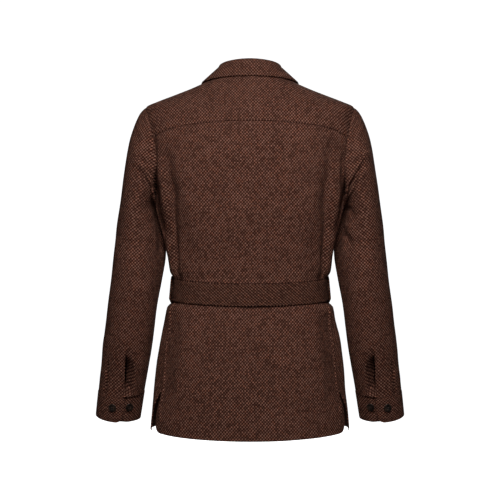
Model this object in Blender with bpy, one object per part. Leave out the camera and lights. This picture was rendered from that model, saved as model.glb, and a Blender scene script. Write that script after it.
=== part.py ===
"""Belted tweed safari jacket in its worn form with no wearer, as separate sewn pieces.

Frame: metres, +Z up, the front faces -Y and +X is the wearer's left. The origin is the middle
of the neck opening, where the wearer holds the jacket up.

Torso places are a turn and a level. A turn counts quarter turns from the centre back: 0 is the
centre back, 1 the left side or shoulder line, 2 the centre front, and minus is the right.
A level is the height of that ring of cloth at the side.
Sleeve places are a ring and an angle. The angle is 0 at the outer line, 90 at the back,
180 at the inner line and -90 at the front.
"""

import math

import bmesh
import bpy
import numpy as np

# Cloth walls and the gaps between pieces
CLOTH = 0.002
DOUBLE_CLOTH = 0.003
BELT_CLOTH = 0.0035
SEAM_GAP = 0.0003
LAY_GAP = 0.0006
BELT_GAP = 0.0022

# Heights
NECK = 0.011
ARMHOLE_TOP = -0.047
ARMPIT = -0.246
WAIST = -0.412
VENT_TOP = -0.600
HEM = -0.688

# Armhole, an egg seen from the side
ARMHOLE_Y = -0.004
ARMHOLE_BACK = 0.064
ARMHOLE_FRONT = 0.068
YOKE_ANGLE = 70
FRONT_SEAM_ANGLE = -25
ARMHOLE_ANGLES = (180, 156, 137, 121, 106, 90, 70, 52, 34, 17, 0, -13, -25,
                  -42, -60, -76, -92, -108, -124, -140, -157, -180)

# Seams and edges of the body
YOKE_RISE = 0.036
YOKE_POWER = 2.6
SIDE_TURN = 0.80
FRONT_LAP = 0.018
VENT_SPREAD = 0.028
VENT_FLARE = 0.005
HEM_ROUND = 0.018

# Sleeve slit, tuck and cuff
SLIT_ANGLE = 90
FRONT_LINE_ANGLE = -90
SLIT_RING = 12.1
SLIT_DEPTH = 0.010
SLIT_LAP = 12
TUCK_ANGLE = 45
TUCK_DEPTH = 0.007
UNDERARM_LEAN = 0.030
CUFF_RING = 14
CUFF_END = 15
CUFF_LAP_ANGLE = 104
CUFF_UNDER = 32
CUFF_ROUND = 0.014
CUFF_HEIGHT = 0.050
CUFF_RADIUS = 0.044

# Belt, buckle and loops
BELT_HEIGHT = 0.042
BELT_SAG = 0.010
BELT_TAIL = 0.112
TAIL_RISE = 0.0082
BUCKLE_BAR = 0.0045
BUCKLE_DEPTH = 0.003
BUCKLE_HALF = 0.020
BUCKLE_TILT = 0.0046
LOOP_TURN = 0.96
LOOP_WIDTH = 0.013
LOOP_STAND = 0.0032

# Buttons
FRONT_BUTTON = 0.0105
CUFF_BUTTON = 0.008
BUTTON_LEVELS = (-0.060, -0.189, -0.272, -0.352, -0.490, -0.572)
CUFF_BUTTON_ANGLES = (76, 119)

COLOURS = {
    "tweed": (0.075, 0.034, 0.022, 1.0),
    "belt_tweed": (0.055, 0.025, 0.017, 1.0),
    "horn": (0.018, 0.013, 0.010, 1.0),
    "buckle": (0.030, 0.017, 0.011, 1.0),
}


class Table:
    """Rows of named columns, read smoothly and without overshoot along the first column."""

    def __init__(self, columns, *rows):
        self.names = columns.split()
        self.rows = np.array(rows, float)
        rise = np.diff(self.rows, axis=0) / np.diff(self.rows[:, :1], axis=0)
        both = rise[:-1] * rise[1:]
        total = np.where(both > 0, rise[:-1] + rise[1:], 1)
        inner = np.where(both > 0, 2 * both / total, 0)
        self.slopes = np.vstack([rise[:1], inner, rise[-1:]])

    def read(self, at):
        at = np.asarray(at, float)
        k = np.clip(np.searchsorted(self.rows[:, 0], at) - 1, 0, len(self.rows) - 2)
        low, high = self.rows[k], self.rows[k + 1]
        step = high[..., :1] - low[..., :1]
        s = (at[..., None] - low[..., :1]) / step
        value = (low * (1 + 2 * s) * (1 - s) ** 2 + high * s * s * (3 - 2 * s)
                 + self.slopes[k] * step * s * (1 - s) ** 2
                 + self.slopes[k + 1] * step * s * s * (s - 1))
        return dict(zip(self.names, np.moveaxis(value, -1, 0)))


TORSO = Table(
    "level z_back z_front half_width y_back y_front square",
    (HEM, -0.701, -0.692, 0.194, 0.122, -0.128, 2.6),
    (-0.600, -0.605, -0.601, 0.190, 0.120, -0.126, 2.6),
    (-0.521, -0.523, -0.521, 0.181, 0.114, -0.121, 2.6),
    (-0.473, -0.473, -0.473, 0.171, 0.107, -0.115, 2.6),
    (-0.446, -0.446, -0.446, 0.1655, 0.101, -0.110, 2.6),
    (-0.435, -0.435, -0.435, 0.1525, 0.097, -0.107, 2.5),
    (WAIST, -0.412, -0.412, 0.145, 0.094, -0.104, 2.5),
    (-0.391, -0.391, -0.391, 0.147, 0.094, -0.104, 2.5),
    (-0.375, -0.375, -0.375, 0.158, 0.097, -0.107, 2.5),
    (-0.345, -0.345, -0.345, 0.164, 0.101, -0.110, 2.5),
    (-0.293, -0.293, -0.293, 0.176, 0.109, -0.118, 2.5),
    (ARMPIT, -0.246, -0.248, 0.187, 0.114, -0.124, 2.6),
    (-0.190, -0.190, -0.206, 0.197, 0.116, -0.126, 2.6),
    (-0.133, -0.134, -0.168, 0.205, 0.113, -0.122, 2.6),
    (-0.085, -0.090, -0.142, 0.209, 0.106, -0.117, 2.5),
    (-0.052, -0.061, -0.124, 0.209, 0.100, -0.112, 2.3),
    (ARMHOLE_TOP, -0.056, -0.120, 0.206, 0.098, -0.111, 2.2),
    (-0.037, -0.043, -0.110, 0.184, 0.093, -0.106, 2.1),
    (-0.025, -0.029, -0.098, 0.153, 0.086, -0.100, 2.0),
    (-0.013, -0.014, -0.086, 0.122, 0.079, -0.094, 2.0),
    (-0.001, 0.000, -0.076, 0.094, 0.0725, -0.088, 2.0),
    (NECK, 0.016, -0.066, 0.064, 0.064, -0.082, 2.0),
)

# Large soft folds of the torso, the same on both sides; rise is outward
FOLD_COLUMNS = "turn spread low high fade rise"
TORSO_FOLDS = (
    (0.56, 0.10, -0.375, -0.190, 0.060, -0.0050),
    (0.40, 0.07, -0.375, -0.230, 0.070, 0.0020),
    (0.62, 0.09, -0.620, -0.445, 0.050, -0.0040),
    (0.80, 0.05, -0.640, -0.445, 0.040, 0.0030),
    (1.45, 0.10, -0.380, -0.260, 0.050, -0.0040),
    (1.35, 0.10, -0.640, -0.445, 0.050, -0.0040),
)

SLEEVE = Table(
    "ring inner_x inner_z outer_x outer_z y_mid half_depth back_drop",
    (0, 0.1880, -0.2460, 0.2060, -0.047, -0.006, 0.066, 0.000),
    (1, 0.1880, -0.2465, 0.2160, -0.056, -0.006, 0.068, 0.000),
    (2, 0.1880, -0.2490, 0.2265, -0.074, -0.006, 0.070, 0.000),
    (3, 0.1868, -0.2540, 0.2380, -0.105, -0.006, 0.072, 0.000),
    (4, 0.1838, -0.2620, 0.2480, -0.152, -0.006, 0.073, 0.002),
    (5, 0.1803, -0.2740, 0.2555, -0.200, -0.006, 0.073, 0.003),
    (6, 0.1748, -0.2930, 0.2620, -0.249, -0.006, 0.072, 0.004),
    (7, 0.1688, -0.3210, 0.2680, -0.297, -0.006, 0.069, 0.005),
    (8, 0.1695, -0.3470, 0.2725, -0.337, -0.006, 0.066, 0.005),
    (9, 0.1765, -0.3950, 0.2785, -0.389, -0.006, 0.062, 0.006),
    (10, 0.1845, -0.4410, 0.2845, -0.439, -0.009, 0.058, 0.007),
    (11, 0.1910, -0.4850, 0.2905, -0.488, -0.015, 0.055, 0.009),
    (12, 0.1976, -0.5300, 0.2970, -0.533, -0.023, 0.052, 0.010),
    (13, 0.2060, -0.5760, 0.3015, -0.576, -0.032, 0.048, 0.010),
    (CUFF_RING, 0.2140, -0.6190, 0.3070, -0.617, -0.041, 0.045, 0.010),
    (CUFF_END, 0.2230, -0.6730, 0.3130, -0.666, -0.052, 0.0425, 0.010),
)

# Soft folds of the sleeve, as ridges on a slanted line; slant is degrees a ring
SLEEVE_FOLD_COLUMNS = "angle spread ring reach slant rise"
SLEEVE_FOLDS = (
    (122, 20, 4.6, 1.6, -14, -0.0060),
    (90, 18, 4.4, 1.6, -14, 0.0040),
    (-110, 16, 4.6, 1.6, 14, -0.0060),
    (150, 20, 9.2, 1.2, 10, -0.0030),
    (-150, 18, 9.6, 0.9, -10, -0.0040),
)

COLLAR = Table(
    "turn stand lean edge_turn edge_level",
    (0.00, 0.0260, -0.003, 0.00, 0.0040),
    (0.50, 0.0260, -0.007, 0.55, 0.0025),
    (1.00, 0.0250, -0.0095, 1.00, -0.0012),
    (1.40, 0.0250, -0.005, 1.36, -0.0090),
    (1.75, 0.0260, 0.002, 1.60, -0.0220),
    (1.98, 0.0230, 0.006, 1.74, -0.0330),
)


def smooth(low, high, x):
    """0 below low, 1 above high and an even rise between."""
    s = np.clip((np.asarray(x, float) - low) / (high - low), 0, 1)
    return s * s * (3 - 2 * s)


def unit(vectors):
    return vectors / np.linalg.norm(vectors, axis=-1, keepdims=True)


def torso_folds(turn, level):
    away = np.abs(np.asarray(turn, float))
    total = np.zeros(np.broadcast(away, level).shape)
    for row in TORSO_FOLDS:
        fold = dict(zip(FOLD_COLUMNS.split(), row))
        window = smooth(fold["low"], fold["low"] + fold["fade"], level)
        window = window * (1 - smooth(fold["high"] - fold["fade"], fold["high"], level))
        window = window * np.exp(-((away - fold["turn"]) / fold["spread"]) ** 2)
        total = total + fold["rise"] * window
    return total


def torso(turn, level):
    """Point of the outer face of the body cloth."""
    row = TORSO.read(level)
    angle = np.asarray(turn, float) * math.pi / 2
    across, along = np.sin(angle), np.cos(angle)
    depth = np.where(along >= 0, row["y_back"], -row["y_front"])
    height = np.where(along >= 0, row["z_back"], row["z_front"])
    aim = np.arctan2(row["half_width"] * across, depth * along)
    square = row["square"]
    reach = ((np.abs(np.sin(aim)) / row["half_width"]) ** square
             + (np.abs(np.cos(aim)) / depth) ** square) ** (-1 / square)
    reach = reach + torso_folds(turn, level)
    z = level + (height - level) * along ** 2
    return np.stack([reach * np.sin(aim), reach * np.cos(aim), z], -1)


def torso_normal(turn, level):
    across = torso(turn + 0.002, level) - torso(turn - 0.002, level)
    up = torso(turn, level + 0.0004) - torso(turn, level - 0.0004)
    return unit(np.cross(up, across))


def turn_by(turn, level, distance):
    """The turn that lies this far round the ring of cloth."""
    speed = np.linalg.norm(torso(turn + 0.01, level) - torso(turn - 0.01, level), axis=-1) / 0.02
    return turn + distance / speed


def armhole_places():
    """Turn and level on the torso of each armhole angle, by Newton's method."""
    angle = np.radians(ARMHOLE_ANGLES)
    middle, half = (ARMHOLE_TOP + ARMPIT) / 2, (ARMHOLE_TOP - ARMPIT) / 2
    width = np.where(np.sin(angle) > 0, ARMHOLE_BACK, ARMHOLE_FRONT)
    goal = np.stack([ARMHOLE_Y + width * np.sin(angle), middle + half * np.cos(angle)], -1)
    turn = 1 - goal[:, 0] / 0.17
    level = goal[:, 1] + 0.0
    for _ in range(40):
        miss = goal - torso(turn, level)[:, 1:]
        by_turn = (torso(turn + 1e-4, level) - torso(turn - 1e-4, level))[:, 1:] / 2e-4
        by_level = (torso(turn, level + 1e-5) - torso(turn, level - 1e-5))[:, 1:] / 2e-5
        area = by_turn[:, 0] * by_level[:, 1] - by_turn[:, 1] * by_level[:, 0]
        turn = turn + 0.7 * (miss[:, 0] * by_level[:, 1] - miss[:, 1] * by_level[:, 0]) / area
        level = level + 0.7 * (by_turn[:, 0] * miss[:, 1] - by_turn[:, 1] * miss[:, 0]) / area
    return turn, level


ARMHOLE_TURN, ARMHOLE_LEVEL = armhole_places()
YOKE_AT = ARMHOLE_ANGLES.index(YOKE_ANGLE)
FRONT_SEAM_AT = ARMHOLE_ANGLES.index(FRONT_SEAM_ANGLE)


def side_seam(level):
    """Turn of the side seam, which runs back from the armpit to the waist."""
    return SIDE_TURN + (ARMHOLE_TURN[0] - SIDE_TURN) * smooth(WAIST, ARMPIT, level)


BODY_LEVELS = (-0.640, VENT_TOP, -0.570, -0.540, -0.510, -0.480, -0.458, -0.444, -0.433, -0.412,
               -0.391, -0.380, -0.368, -0.345, -0.318, -0.290, -0.266)
HEM_STEPS = (0.0, 0.002, 0.007, 0.018)


def corner_cut(radius, from_edge):
    """How far a rounded corner holds the side back, this far from the end."""
    left = max(radius - from_edge, 0)
    return radius - math.sqrt(radius ** 2 - left ** 2)


def back_panel():
    columns = np.sin(np.linspace(-1, 1, 21) * math.pi / 2 * 0.8) / math.sin(math.pi / 2 * 0.8)
    rows = []
    for step in HEM_STEPS:
        level = HEM + step
        rows.append((turn_by(side_seam(level), level, -corner_cut(HEM_ROUND, step)), level, 0))
    rows += [(side_seam(level), level, 0) for level in BODY_LEVELS]
    for k in range(YOKE_AT + 1):
        rows.append((ARMHOLE_TURN[k], ARMHOLE_LEVEL[k], YOKE_RISE * (k / YOKE_AT) ** 2))
    edge, level, rise = (np.array(column)[:, None] for column in zip(*rows))
    turn = edge * columns
    level = level + rise * (1 - np.abs(columns) ** YOKE_POWER)
    return torso(turn, level), torso_normal(turn, level)


def back_yoke():
    columns = np.sin(np.linspace(-1, 1, 21) * math.pi / 2 * 0.8) / math.sin(math.pi / 2 * 0.8)
    seam_turn = columns * ARMHOLE_TURN[YOKE_AT]
    seam_level = ARMHOLE_LEVEL[YOKE_AT] + YOKE_RISE * (1 - np.abs(columns) ** YOKE_POWER)
    over = slice(YOKE_AT + 1, FRONT_SEAM_AT + 1)
    turn = np.concatenate([-ARMHOLE_TURN[over][::-1], seam_turn, ARMHOLE_TURN[over]])
    low = np.concatenate([ARMHOLE_LEVEL[over][::-1], seam_level, ARMHOLE_LEVEL[over]])
    share = np.linspace(0, 1, 7)[:, None]
    level = low + (NECK - low) * share
    turn = turn + 0 * level
    return torso(turn, level), torso_normal(turn, level)


def front_panel(lapped_under):
    """Left front, or with lapped_under the right front before it is mirrored."""
    rows = []
    for level in [HEM + step for step in HEM_STEPS[::2]] + list(BODY_LEVELS):
        opened = VENT_SPREAD * smooth(VENT_TOP, HEM, level)
        rows.append((turn_by(side_seam(level), level, opened), level))
    last = len(ARMHOLE_ANGLES) - 1
    for k in range(last, FRONT_SEAM_AT - 1, -1):
        rows.append((ARMHOLE_TURN[k], ARMHOLE_LEVEL[k]))
    for share in (0.33, 0.67, 1.0):
        corner = ARMHOLE_LEVEL[FRONT_SEAM_AT]
        rows.append((ARMHOLE_TURN[FRONT_SEAM_AT], corner + (NECK - corner) * share))
    edge, level = (np.array(column)[:, None] for column in zip(*rows))
    middle = 2 + np.arcsin(FRONT_LAP / TORSO.read(level)["half_width"]) * 2 / math.pi
    share = np.array([0, 0.07, 0.15, 0.26, 0.38, 0.5, 0.62, 0.73, 0.83, 0.91, 1.0])
    turn = edge + (middle - edge) * share
    level = level + 0 * turn
    points, normals = torso(turn, level), torso_normal(turn, level)
    flare = VENT_FLARE * smooth(VENT_TOP, HEM, level) * (1 - smooth(0, 0.35, share))
    lower = smooth(-0.055, -0.022, -points[..., 0]) if lapped_under else 0 * share
    lift = flare - (CLOTH + LAY_GAP) * lower
    return points + normals * lift[..., None], normals


def sleeve_ring(ring, angle):
    """Point of the sleeve before its slit and tuck."""
    row = SLEEVE.read(ring)
    turned = np.radians(angle)
    out, back = np.cos(turned), np.sin(turned)
    x = (row["outer_x"] + row["inner_x"]) / 2 + (row["outer_x"] - row["inner_x"]) / 2 * out
    y = row["y_mid"] + row["half_depth"] * back
    z = (row["outer_z"] + row["inner_z"]) / 2 + (row["outer_z"] - row["inner_z"]) / 2 * out
    near = smooth(0.5, 4.0, ring) * (1 - smooth(6.5, 9.5, ring))
    y = y - UNDERARM_LEAN * near * ((1 - out) / 2) ** 2
    return np.stack([x, y, z - row["back_drop"] * back], -1)


def wrapped(angle):
    return (np.asarray(angle, float) + 180) % 360 - 180


def armhole_point(angle):
    """Point of the armhole edge, straight between the places that the panels share."""
    corners = torso(ARMHOLE_TURN, ARMHOLE_LEVEL)
    at = -wrapped(angle)
    known = -np.array(ARMHOLE_ANGLES, float)
    return np.stack([np.interp(at, known, corners[:, i]) for i in range(3)], -1)


def sleeve_folds(ring, angle):
    total = np.zeros(np.broadcast(ring, angle).shape)
    for row in SLEEVE_FOLDS:
        fold = dict(zip(SLEEVE_FOLD_COLUMNS.split(), row))
        along = ring - fold["ring"]
        across = wrapped(angle - fold["angle"] - fold["slant"] * along)
        fade = np.exp(-(across / fold["spread"]) ** 2 - (along / fold["reach"]) ** 2)
        total = total + fold["rise"] * fade
    return total


def sleeve_shape(ring, angle):
    """Outer face of the sleeve on its armhole edge, with the soft folds."""
    start = armhole_point(angle) - sleeve_ring(np.zeros_like(ring), angle)
    points = sleeve_ring(ring, angle) + start * (1 - smooth(0, 3, ring))[..., None]
    away = points - sleeve_ring(ring, angle + 180)
    return points + unit(away) * sleeve_folds(ring, angle)[..., None]


def sleeve_normal(ring, angle):
    around = sleeve_shape(ring, angle + 0.5) - sleeve_shape(ring, angle - 0.5)
    low = np.maximum(ring - 0.05, 0)
    down = sleeve_shape(ring + 0.05, angle) - sleeve_shape(low, angle)
    return unit(np.cross(down, around))


SLEEVE_RINGS = (0, 1, 2, 3, 4, 5, 6, 7, 8, 9, 10, 11, SLIT_RING, 12.5, 12.9, 13.3, 13.7, CUFF_RING)


def sleeve():
    """Upper and under piece of the left sleeve, sewn along the back line above the slit and the front line."""
    edge = SLIT_ANGLE - 360
    columns = {angle if angle <= SLIT_ANGLE else angle - 360 for angle in ARMHOLE_ANGLES[1:]}
    columns |= {SLIT_ANGLE - 6, SLIT_ANGLE - 12, edge + 12, edge + 6, edge}
    columns |= {TUCK_ANGLE + side for side in (6, 3, 0, -3, -6)}
    columns = sorted(columns | {FRONT_LINE_ANGLE}, reverse=True)
    ring, angle = np.meshgrid(np.array(SLEEVE_RINGS, float), np.array(columns, float), indexing="ij")
    below = smooth(SLIT_RING, 13.0, ring)
    closing = smooth(13.2, CUFF_RING, ring)
    under = smooth(edge + 26, edge + 2, angle)
    angle = angle - SLIT_LAP * smooth(12.5, 13.2, ring) * smooth(edge + 30, edge, angle)
    tuck = np.exp(-((angle - TUCK_ANGLE) / 3.2) ** 2) * smooth(12.1, 13.0, ring)
    depth = (SLIT_DEPTH + (DOUBLE_CLOTH + LAY_GAP - SLIT_DEPTH) * closing) * below
    sunk = depth * under + TUCK_DEPTH * tuck
    normals = sleeve_normal(ring, angle)
    points = sleeve_shape(ring, angle) - normals * sunk[..., None]
    front = columns.index(FRONT_LINE_ANGLE)
    upper, lower = slice(0, front + 1), slice(front, None)
    return (points[:, upper], normals[:, upper]), (points[:, lower], normals[:, lower])


def cuff():
    """Left cuff, its columns starting at the rounded lapped end."""
    length = CUFF_HEIGHT
    steps = (0.0, 0.003, 0.011, 0.026, length - 0.0105, length - 0.003, length)
    columns = np.concatenate([np.linspace(0, 70, 8)[:-1], np.linspace(70, 300, 14)[:-1],
                              np.linspace(300, 360 + CUFF_UNDER, 7)])
    rows = []
    for step in steps:
        share = 0.3 if step < length / 2 else 1.0
        cut = corner_cut(CUFF_ROUND, min(step, length - step)) * share
        rows.append(math.degrees(cut / CUFF_RADIUS))
    cut = np.array(rows)[:, None] * (1 - smooth(0, 70, columns))
    angle = CUFF_LAP_ANGLE - columns - cut
    ring = np.array(steps)[:, None] / length + CUFF_RING + 0 * angle
    under = smooth(285, 335, columns)
    normals = sleeve_normal(ring, angle)
    lift = 0.0008 - (DOUBLE_CLOTH + LAY_GAP) * under + 0 * angle
    return sleeve_shape(ring, angle) + normals * lift[..., None], normals


def collar():
    """Stand, roll and fall in one folded strip; rows run from the neck seam to the outer edge."""
    half = np.concatenate([np.linspace(0, 1.12, 9), np.linspace(1.28, 1.76, 4), [1.88, 1.98]])
    turn = np.concatenate([-half[:0:-1], half])
    row = COLLAR.read(np.abs(turn))
    seam = torso(turn, np.full_like(turn, NECK))
    out = torso_normal(turn, np.full_like(turn, NECK)) * np.array([1, 1, 0])
    out = unit(out)
    up = np.array([0, 0, 1.0])
    edge_turn = np.sign(turn) * row["edge_turn"]
    edge = torso(edge_turn, row["edge_level"])
    edge = edge + torso_normal(edge_turn, row["edge_level"]) * (DOUBLE_CLOTH + 0.0015)
    foot = seam - out * DOUBLE_CLOTH / 2 + up * LAY_GAP
    roll = foot + up * (row["stand"] - 0.005)[:, None] + out * row["lean"][:, None]
    crown = roll + out * 0.005
    fall = crown + out * 0.005
    rows = [foot, foot * 0.5 + roll * 0.5 - out * 0.001, roll]
    rows += [crown - out * 0.0035 + up * 0.0035, crown + up * 0.005, crown + out * 0.0035 + up * 0.0035]
    for share in (0.0, 0.33, 0.67, 1.0):
        bulge = out * 0.0005 * math.sin(math.pi * share)
        rows.append(fall * (1 - share) + edge * share + bulge)
    points = np.array(rows)
    along = np.gradient(points, axis=1)
    down = np.gradient(points, axis=0)
    return points, unit(np.cross(down, along))


def belt_middle(turn):
    along = np.cos(np.asarray(turn) * math.pi / 2)
    return WAIST - BELT_SAG * np.where(along > 0, along, 0.4 * along) ** 2


def turn_at_front(x):
    """Belt turn at this x near the centre front, counted on past the right front."""
    return -2 - np.arcsin(x / TORSO.read(WAIST)["half_width"]) * 2 / math.pi


def belt():
    """Strip from under the buckle bar round the left side and back to the front, ending in its tail."""
    start = 4 + turn_at_front(BUCKLE_HALF + 0.008)
    before = np.array([-0.030, -0.012, 0.002, 0.016])
    tip = BELT_TAIL - np.array([0.068, 0.042, 0.024, 0.012, 0.004, 0.0])
    tail = np.concatenate([before, tip])
    turn = np.concatenate([np.linspace(start, -1.78, 52), turn_at_front(tail)])
    x = np.concatenate([np.full(52, -1.0), tail])
    over = smooth(-0.014, 0.014, x) * TAIL_RISE
    point = np.sqrt(np.clip((BELT_TAIL + 0.004 - x) / 0.040, 0, 1))
    half = BELT_HEIGHT / 2 * np.where(x > 0, np.maximum(point, 0.25), 1)
    middle = belt_middle(turn)
    top, low = (torso(turn, middle + side * BELT_HEIGHT / 2) for side in (1, -1))
    centre, up = (top + low) / 2, (top - low) / BELT_HEIGHT * half[:, None]
    flat = unit(torso_normal(turn, middle) * np.array([1, 1, 0]))
    points = np.array([centre + up, centre, centre - up])
    points = points + flat * (BELT_GAP + BELT_CLOTH + over)[:, None]
    return points, np.broadcast_to(flat, points.shape)


def belt_loop():
    """Left loop, a strip that stands off the belt and is sewn to the body above and below it."""
    columns = np.array([-0.5, 0.0, 0.5]) * LOOP_WIDTH
    level = WAIST - 0.0
    turn = turn_by(LOOP_TURN, level, columns)
    flat = unit(torso_normal(np.full(3, LOOP_TURN), np.full(3, level)) * np.array([1, 1, 0]))
    reach = BELT_HEIGHT / 2
    path = ((reach + 0.0065, 0.0008), (reach + 0.0045, 0.0018), (reach + 0.0020, 0.0028),
            (reach * 0.5, LOOP_STAND), (0, LOOP_STAND), (-reach * 0.5, LOOP_STAND),
            (-reach - 0.0020, 0.0030), (-reach - 0.0045, 0.0022), (-reach - 0.0065, 0.0010))
    base = [torso(turn, np.full(3, level + s * (reach + 0.0065))) for s in (1, -1)]
    rows = []
    for rise, stand in path:
        share = (rise + reach + 0.0065) / (2 * reach + 0.013)
        rows.append(base[1] + (base[0] - base[1]) * share + flat * (stand + CLOTH))
    points = np.array(rows)
    down = np.gradient(points, axis=0)
    along = np.gradient(points, axis=1)
    return points, unit(np.cross(along, down))


def finish(name, vertices, faces, colour):
    """Object of these vertices and faces, with its faces turned outward."""
    mesh = bpy.data.meshes.new(name)
    mesh.from_pydata([tuple(v) for v in vertices], [], faces)
    shape = bmesh.new()
    shape.from_mesh(mesh)
    bmesh.ops.recalc_face_normals(shape, faces=shape.faces[:])
    shape.to_mesh(mesh)
    shape.free()
    material = bpy.data.materials.new(name)
    material.use_nodes = True
    shader = material.node_tree.nodes["Principled BSDF"]
    shader.inputs["Base Color"].default_value = COLOURS[colour]
    shader.inputs["Roughness"].default_value = 0.9 if "tweed" in colour else 0.35
    mesh.materials.append(material)
    made = bpy.data.objects.new(name, mesh)
    bpy.context.scene.collection.objects.link(made)
    return made


def wall(name, points, normals, thickness, colour):
    """Closed wall under a grid of outer points, its edges held back by half a seam gap."""
    rows, columns = points.shape[:2]
    outer = points.copy()
    outer[0] += unit(points[1] - points[0]) * SEAM_GAP / 2
    outer[-1] += unit(points[-2] - points[-1]) * SEAM_GAP / 2
    outer[:, 0] += unit(points[:, 1] - points[:, 0]) * SEAM_GAP / 2
    outer[:, -1] += unit(points[:, -2] - points[:, -1]) * SEAM_GAP / 2
    inner = outer - normals * thickness
    last = columns - 1

    def at(layer, r, c):
        return layer * rows * columns + r * columns + c

    faces = []
    for r in range(rows - 1):
        for c in range(last):
            for layer in (0, 1):
                quad = [at(layer, r, c), at(layer, r + 1, c),
                        at(layer, r + 1, c + 1), at(layer, r, c + 1)]
                faces.append(quad if layer == 0 else quad[::-1])
        for c in (0, last):
            faces.append([at(0, r, c), at(1, r, c), at(1, r + 1, c)])
            faces.append([at(0, r, c), at(1, r + 1, c), at(0, r + 1, c)])
    for c in range(last):
        faces.append([at(0, 0, c), at(0, 0, c + 1), at(1, 0, c + 1), at(1, 0, c)])
        end = rows - 1
        faces.append([at(0, end, c + 1), at(0, end, c), at(1, end, c), at(1, end, c + 1)])
    vertices = np.concatenate([outer.reshape(-1, 3), inner.reshape(-1, 3)])
    return finish(name, vertices, faces, colour)


BUTTON_PROFILE = ((0.0, 0.0), (0.72, 0.0), (0.94, 0.06), (1.0, 0.16), (0.97, 0.28),
                  (0.82, 0.33), (0.66, 0.27), (0.0, 0.24))


def button(name, radius, centre, axis):
    """Turned disc with a raised rim, its back on centre and its face along axis."""
    axis = unit(axis)
    side = unit(np.cross(axis, [0, 0, 1.0]))
    top = np.cross(side, axis)
    steps = 14
    vertices = []
    for reach, height in BUTTON_PROFILE[1:-1]:
        for k in range(steps):
            turned = 2 * math.pi * k / steps
            spoke = side * math.cos(turned) + top * math.sin(turned)
            vertices.append(centre + (spoke * reach + axis * height) * radius)
    rings = len(BUTTON_PROFILE) - 2
    faces = [[r * steps + k, r * steps + (k + 1) % steps,
              (r + 1) * steps + (k + 1) % steps, (r + 1) * steps + k]
             for r in range(rings - 1) for k in range(steps)]
    for end, ring in ((0, 0), (len(BUTTON_PROFILE) - 1, rings - 1)):
        tip = len(vertices)
        vertices.append(centre + axis * BUTTON_PROFILE[end][1] * radius)
        faces += [[tip, ring * steps + k, ring * steps + (k + 1) % steps] for k in range(steps)]
    return finish(name, vertices, faces, "horn")


def buckle():
    """Rounded frame; its heel bar lies beside the belt's end and its other bar over the belt."""
    middle = belt_middle(2.0)
    reach = BELT_HEIGHT / 2 + 0.002 + BUCKLE_BAR
    face = -torso(2.0, middle + np.linspace(-reach, reach, 9))[:, 1].min()
    outer = (BUCKLE_HALF + BUCKLE_BAR / 2, reach)
    inner = (BUCKLE_HALF - BUCKLE_BAR / 2, BELT_HEIGHT / 2 + 0.002)
    steps = 32
    loops = []
    for half_x, half_z in (outer, inner):
        loop = []
        for k in range(steps):
            turned = 2 * math.pi * (k + 0.5) / steps
            c, s = math.cos(turned), math.sin(turned)
            x = half_x * math.copysign(abs(c) ** 0.35, c)
            loop.append((x, half_z * math.copysign(abs(s) ** 0.35, s)))
        loops.append(loop)
    vertices = []
    for loop in loops:
        for depth in (0, BUCKLE_DEPTH):
            for x, z in loop:
                lift = LAY_GAP + BUCKLE_TILT * float(smooth(BUCKLE_HALF, -BUCKLE_HALF, x))
                vertices.append((x, -(face + lift + depth), middle + z))
    order = (0, 1, 3, 2)
    faces = []
    for a, b in zip(order, order[1:] + order[:1]):
        for k in range(steps):
            n = (k + 1) % steps
            faces.append([a * steps + k, a * steps + n, b * steps + n, b * steps + k])
    return finish("belt_buckle", vertices, faces, "buckle")


def main():
    for old in list(bpy.data.objects):
        bpy.data.objects.remove(old, do_unlink=True)
    wall("back_panel", *back_panel(), CLOTH, "tweed")
    wall("back_yoke", *back_yoke(), CLOTH, "tweed")
    wall("front_left", *front_panel(False), CLOTH, "tweed")
    points, normals = front_panel(True)
    flip = np.array([-1, 1, 1])
    wall("front_right", points * flip, normals * flip, CLOTH, "tweed")
    wall("collar", *collar(), DOUBLE_CLOTH, "tweed")
    for side, name in ((1, "left"), (-1, "right")):
        flip = np.array([side, 1, 1])
        for piece, (points, normals) in zip(("sleeve_", "sleeve_under_"), sleeve()):
            wall(piece + name, points * flip, normals * flip, CLOTH, "tweed")
        points, normals = cuff()
        wall("cuff_" + name, points * flip, normals * flip, DOUBLE_CLOTH, "tweed")
        points, normals = belt_loop()
        wall("belt_loop_" + name, points * flip, normals * flip, CLOTH, "belt_tweed")
        for number, angle in enumerate(CUFF_BUTTON_ANGLES):
            ring = np.array(CUFF_RING + 0.42)
            axis = sleeve_normal(ring, np.array(float(angle)))
            lift = 0.0008 + LAY_GAP - (DOUBLE_CLOTH + LAY_GAP) * number
            spot = sleeve_shape(ring, np.array(float(angle))) + axis * lift
            button(f"cuff_button_{name}_{number + 1}", CUFF_BUTTON, spot * flip, axis * flip)
    wall("belt", *belt(), BELT_CLOTH, "belt_tweed")
    buckle()
    for number, level in enumerate(BUTTON_LEVELS):
        axis = torso_normal(2.0, level)
        button(f"front_button_{number + 1}", FRONT_BUTTON, torso(2.0, level) + axis * LAY_GAP * 2, axis)


if __name__ == "__main__":
    main()
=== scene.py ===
"""Looks of the belted tweed safari jacket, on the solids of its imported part.

Frame: metres, +Z up, the front faces -Y and +X is the wearer's left. The origin is the middle
of the neck opening. The cloth follows the part's own tables, read more finely and creased.

Torso places are a turn and a level. A turn counts quarter turns from the centre back: 0 is the
centre back, 1 the left side or shoulder line, 2 the centre front, and minus is the right.
A level is the height of that ring of cloth at the side.
Sleeve places are a ring and an angle. The angle is 0 at the outer line, 90 at the back,
180 at the inner line and -90 at the front.
"""

import math

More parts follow.
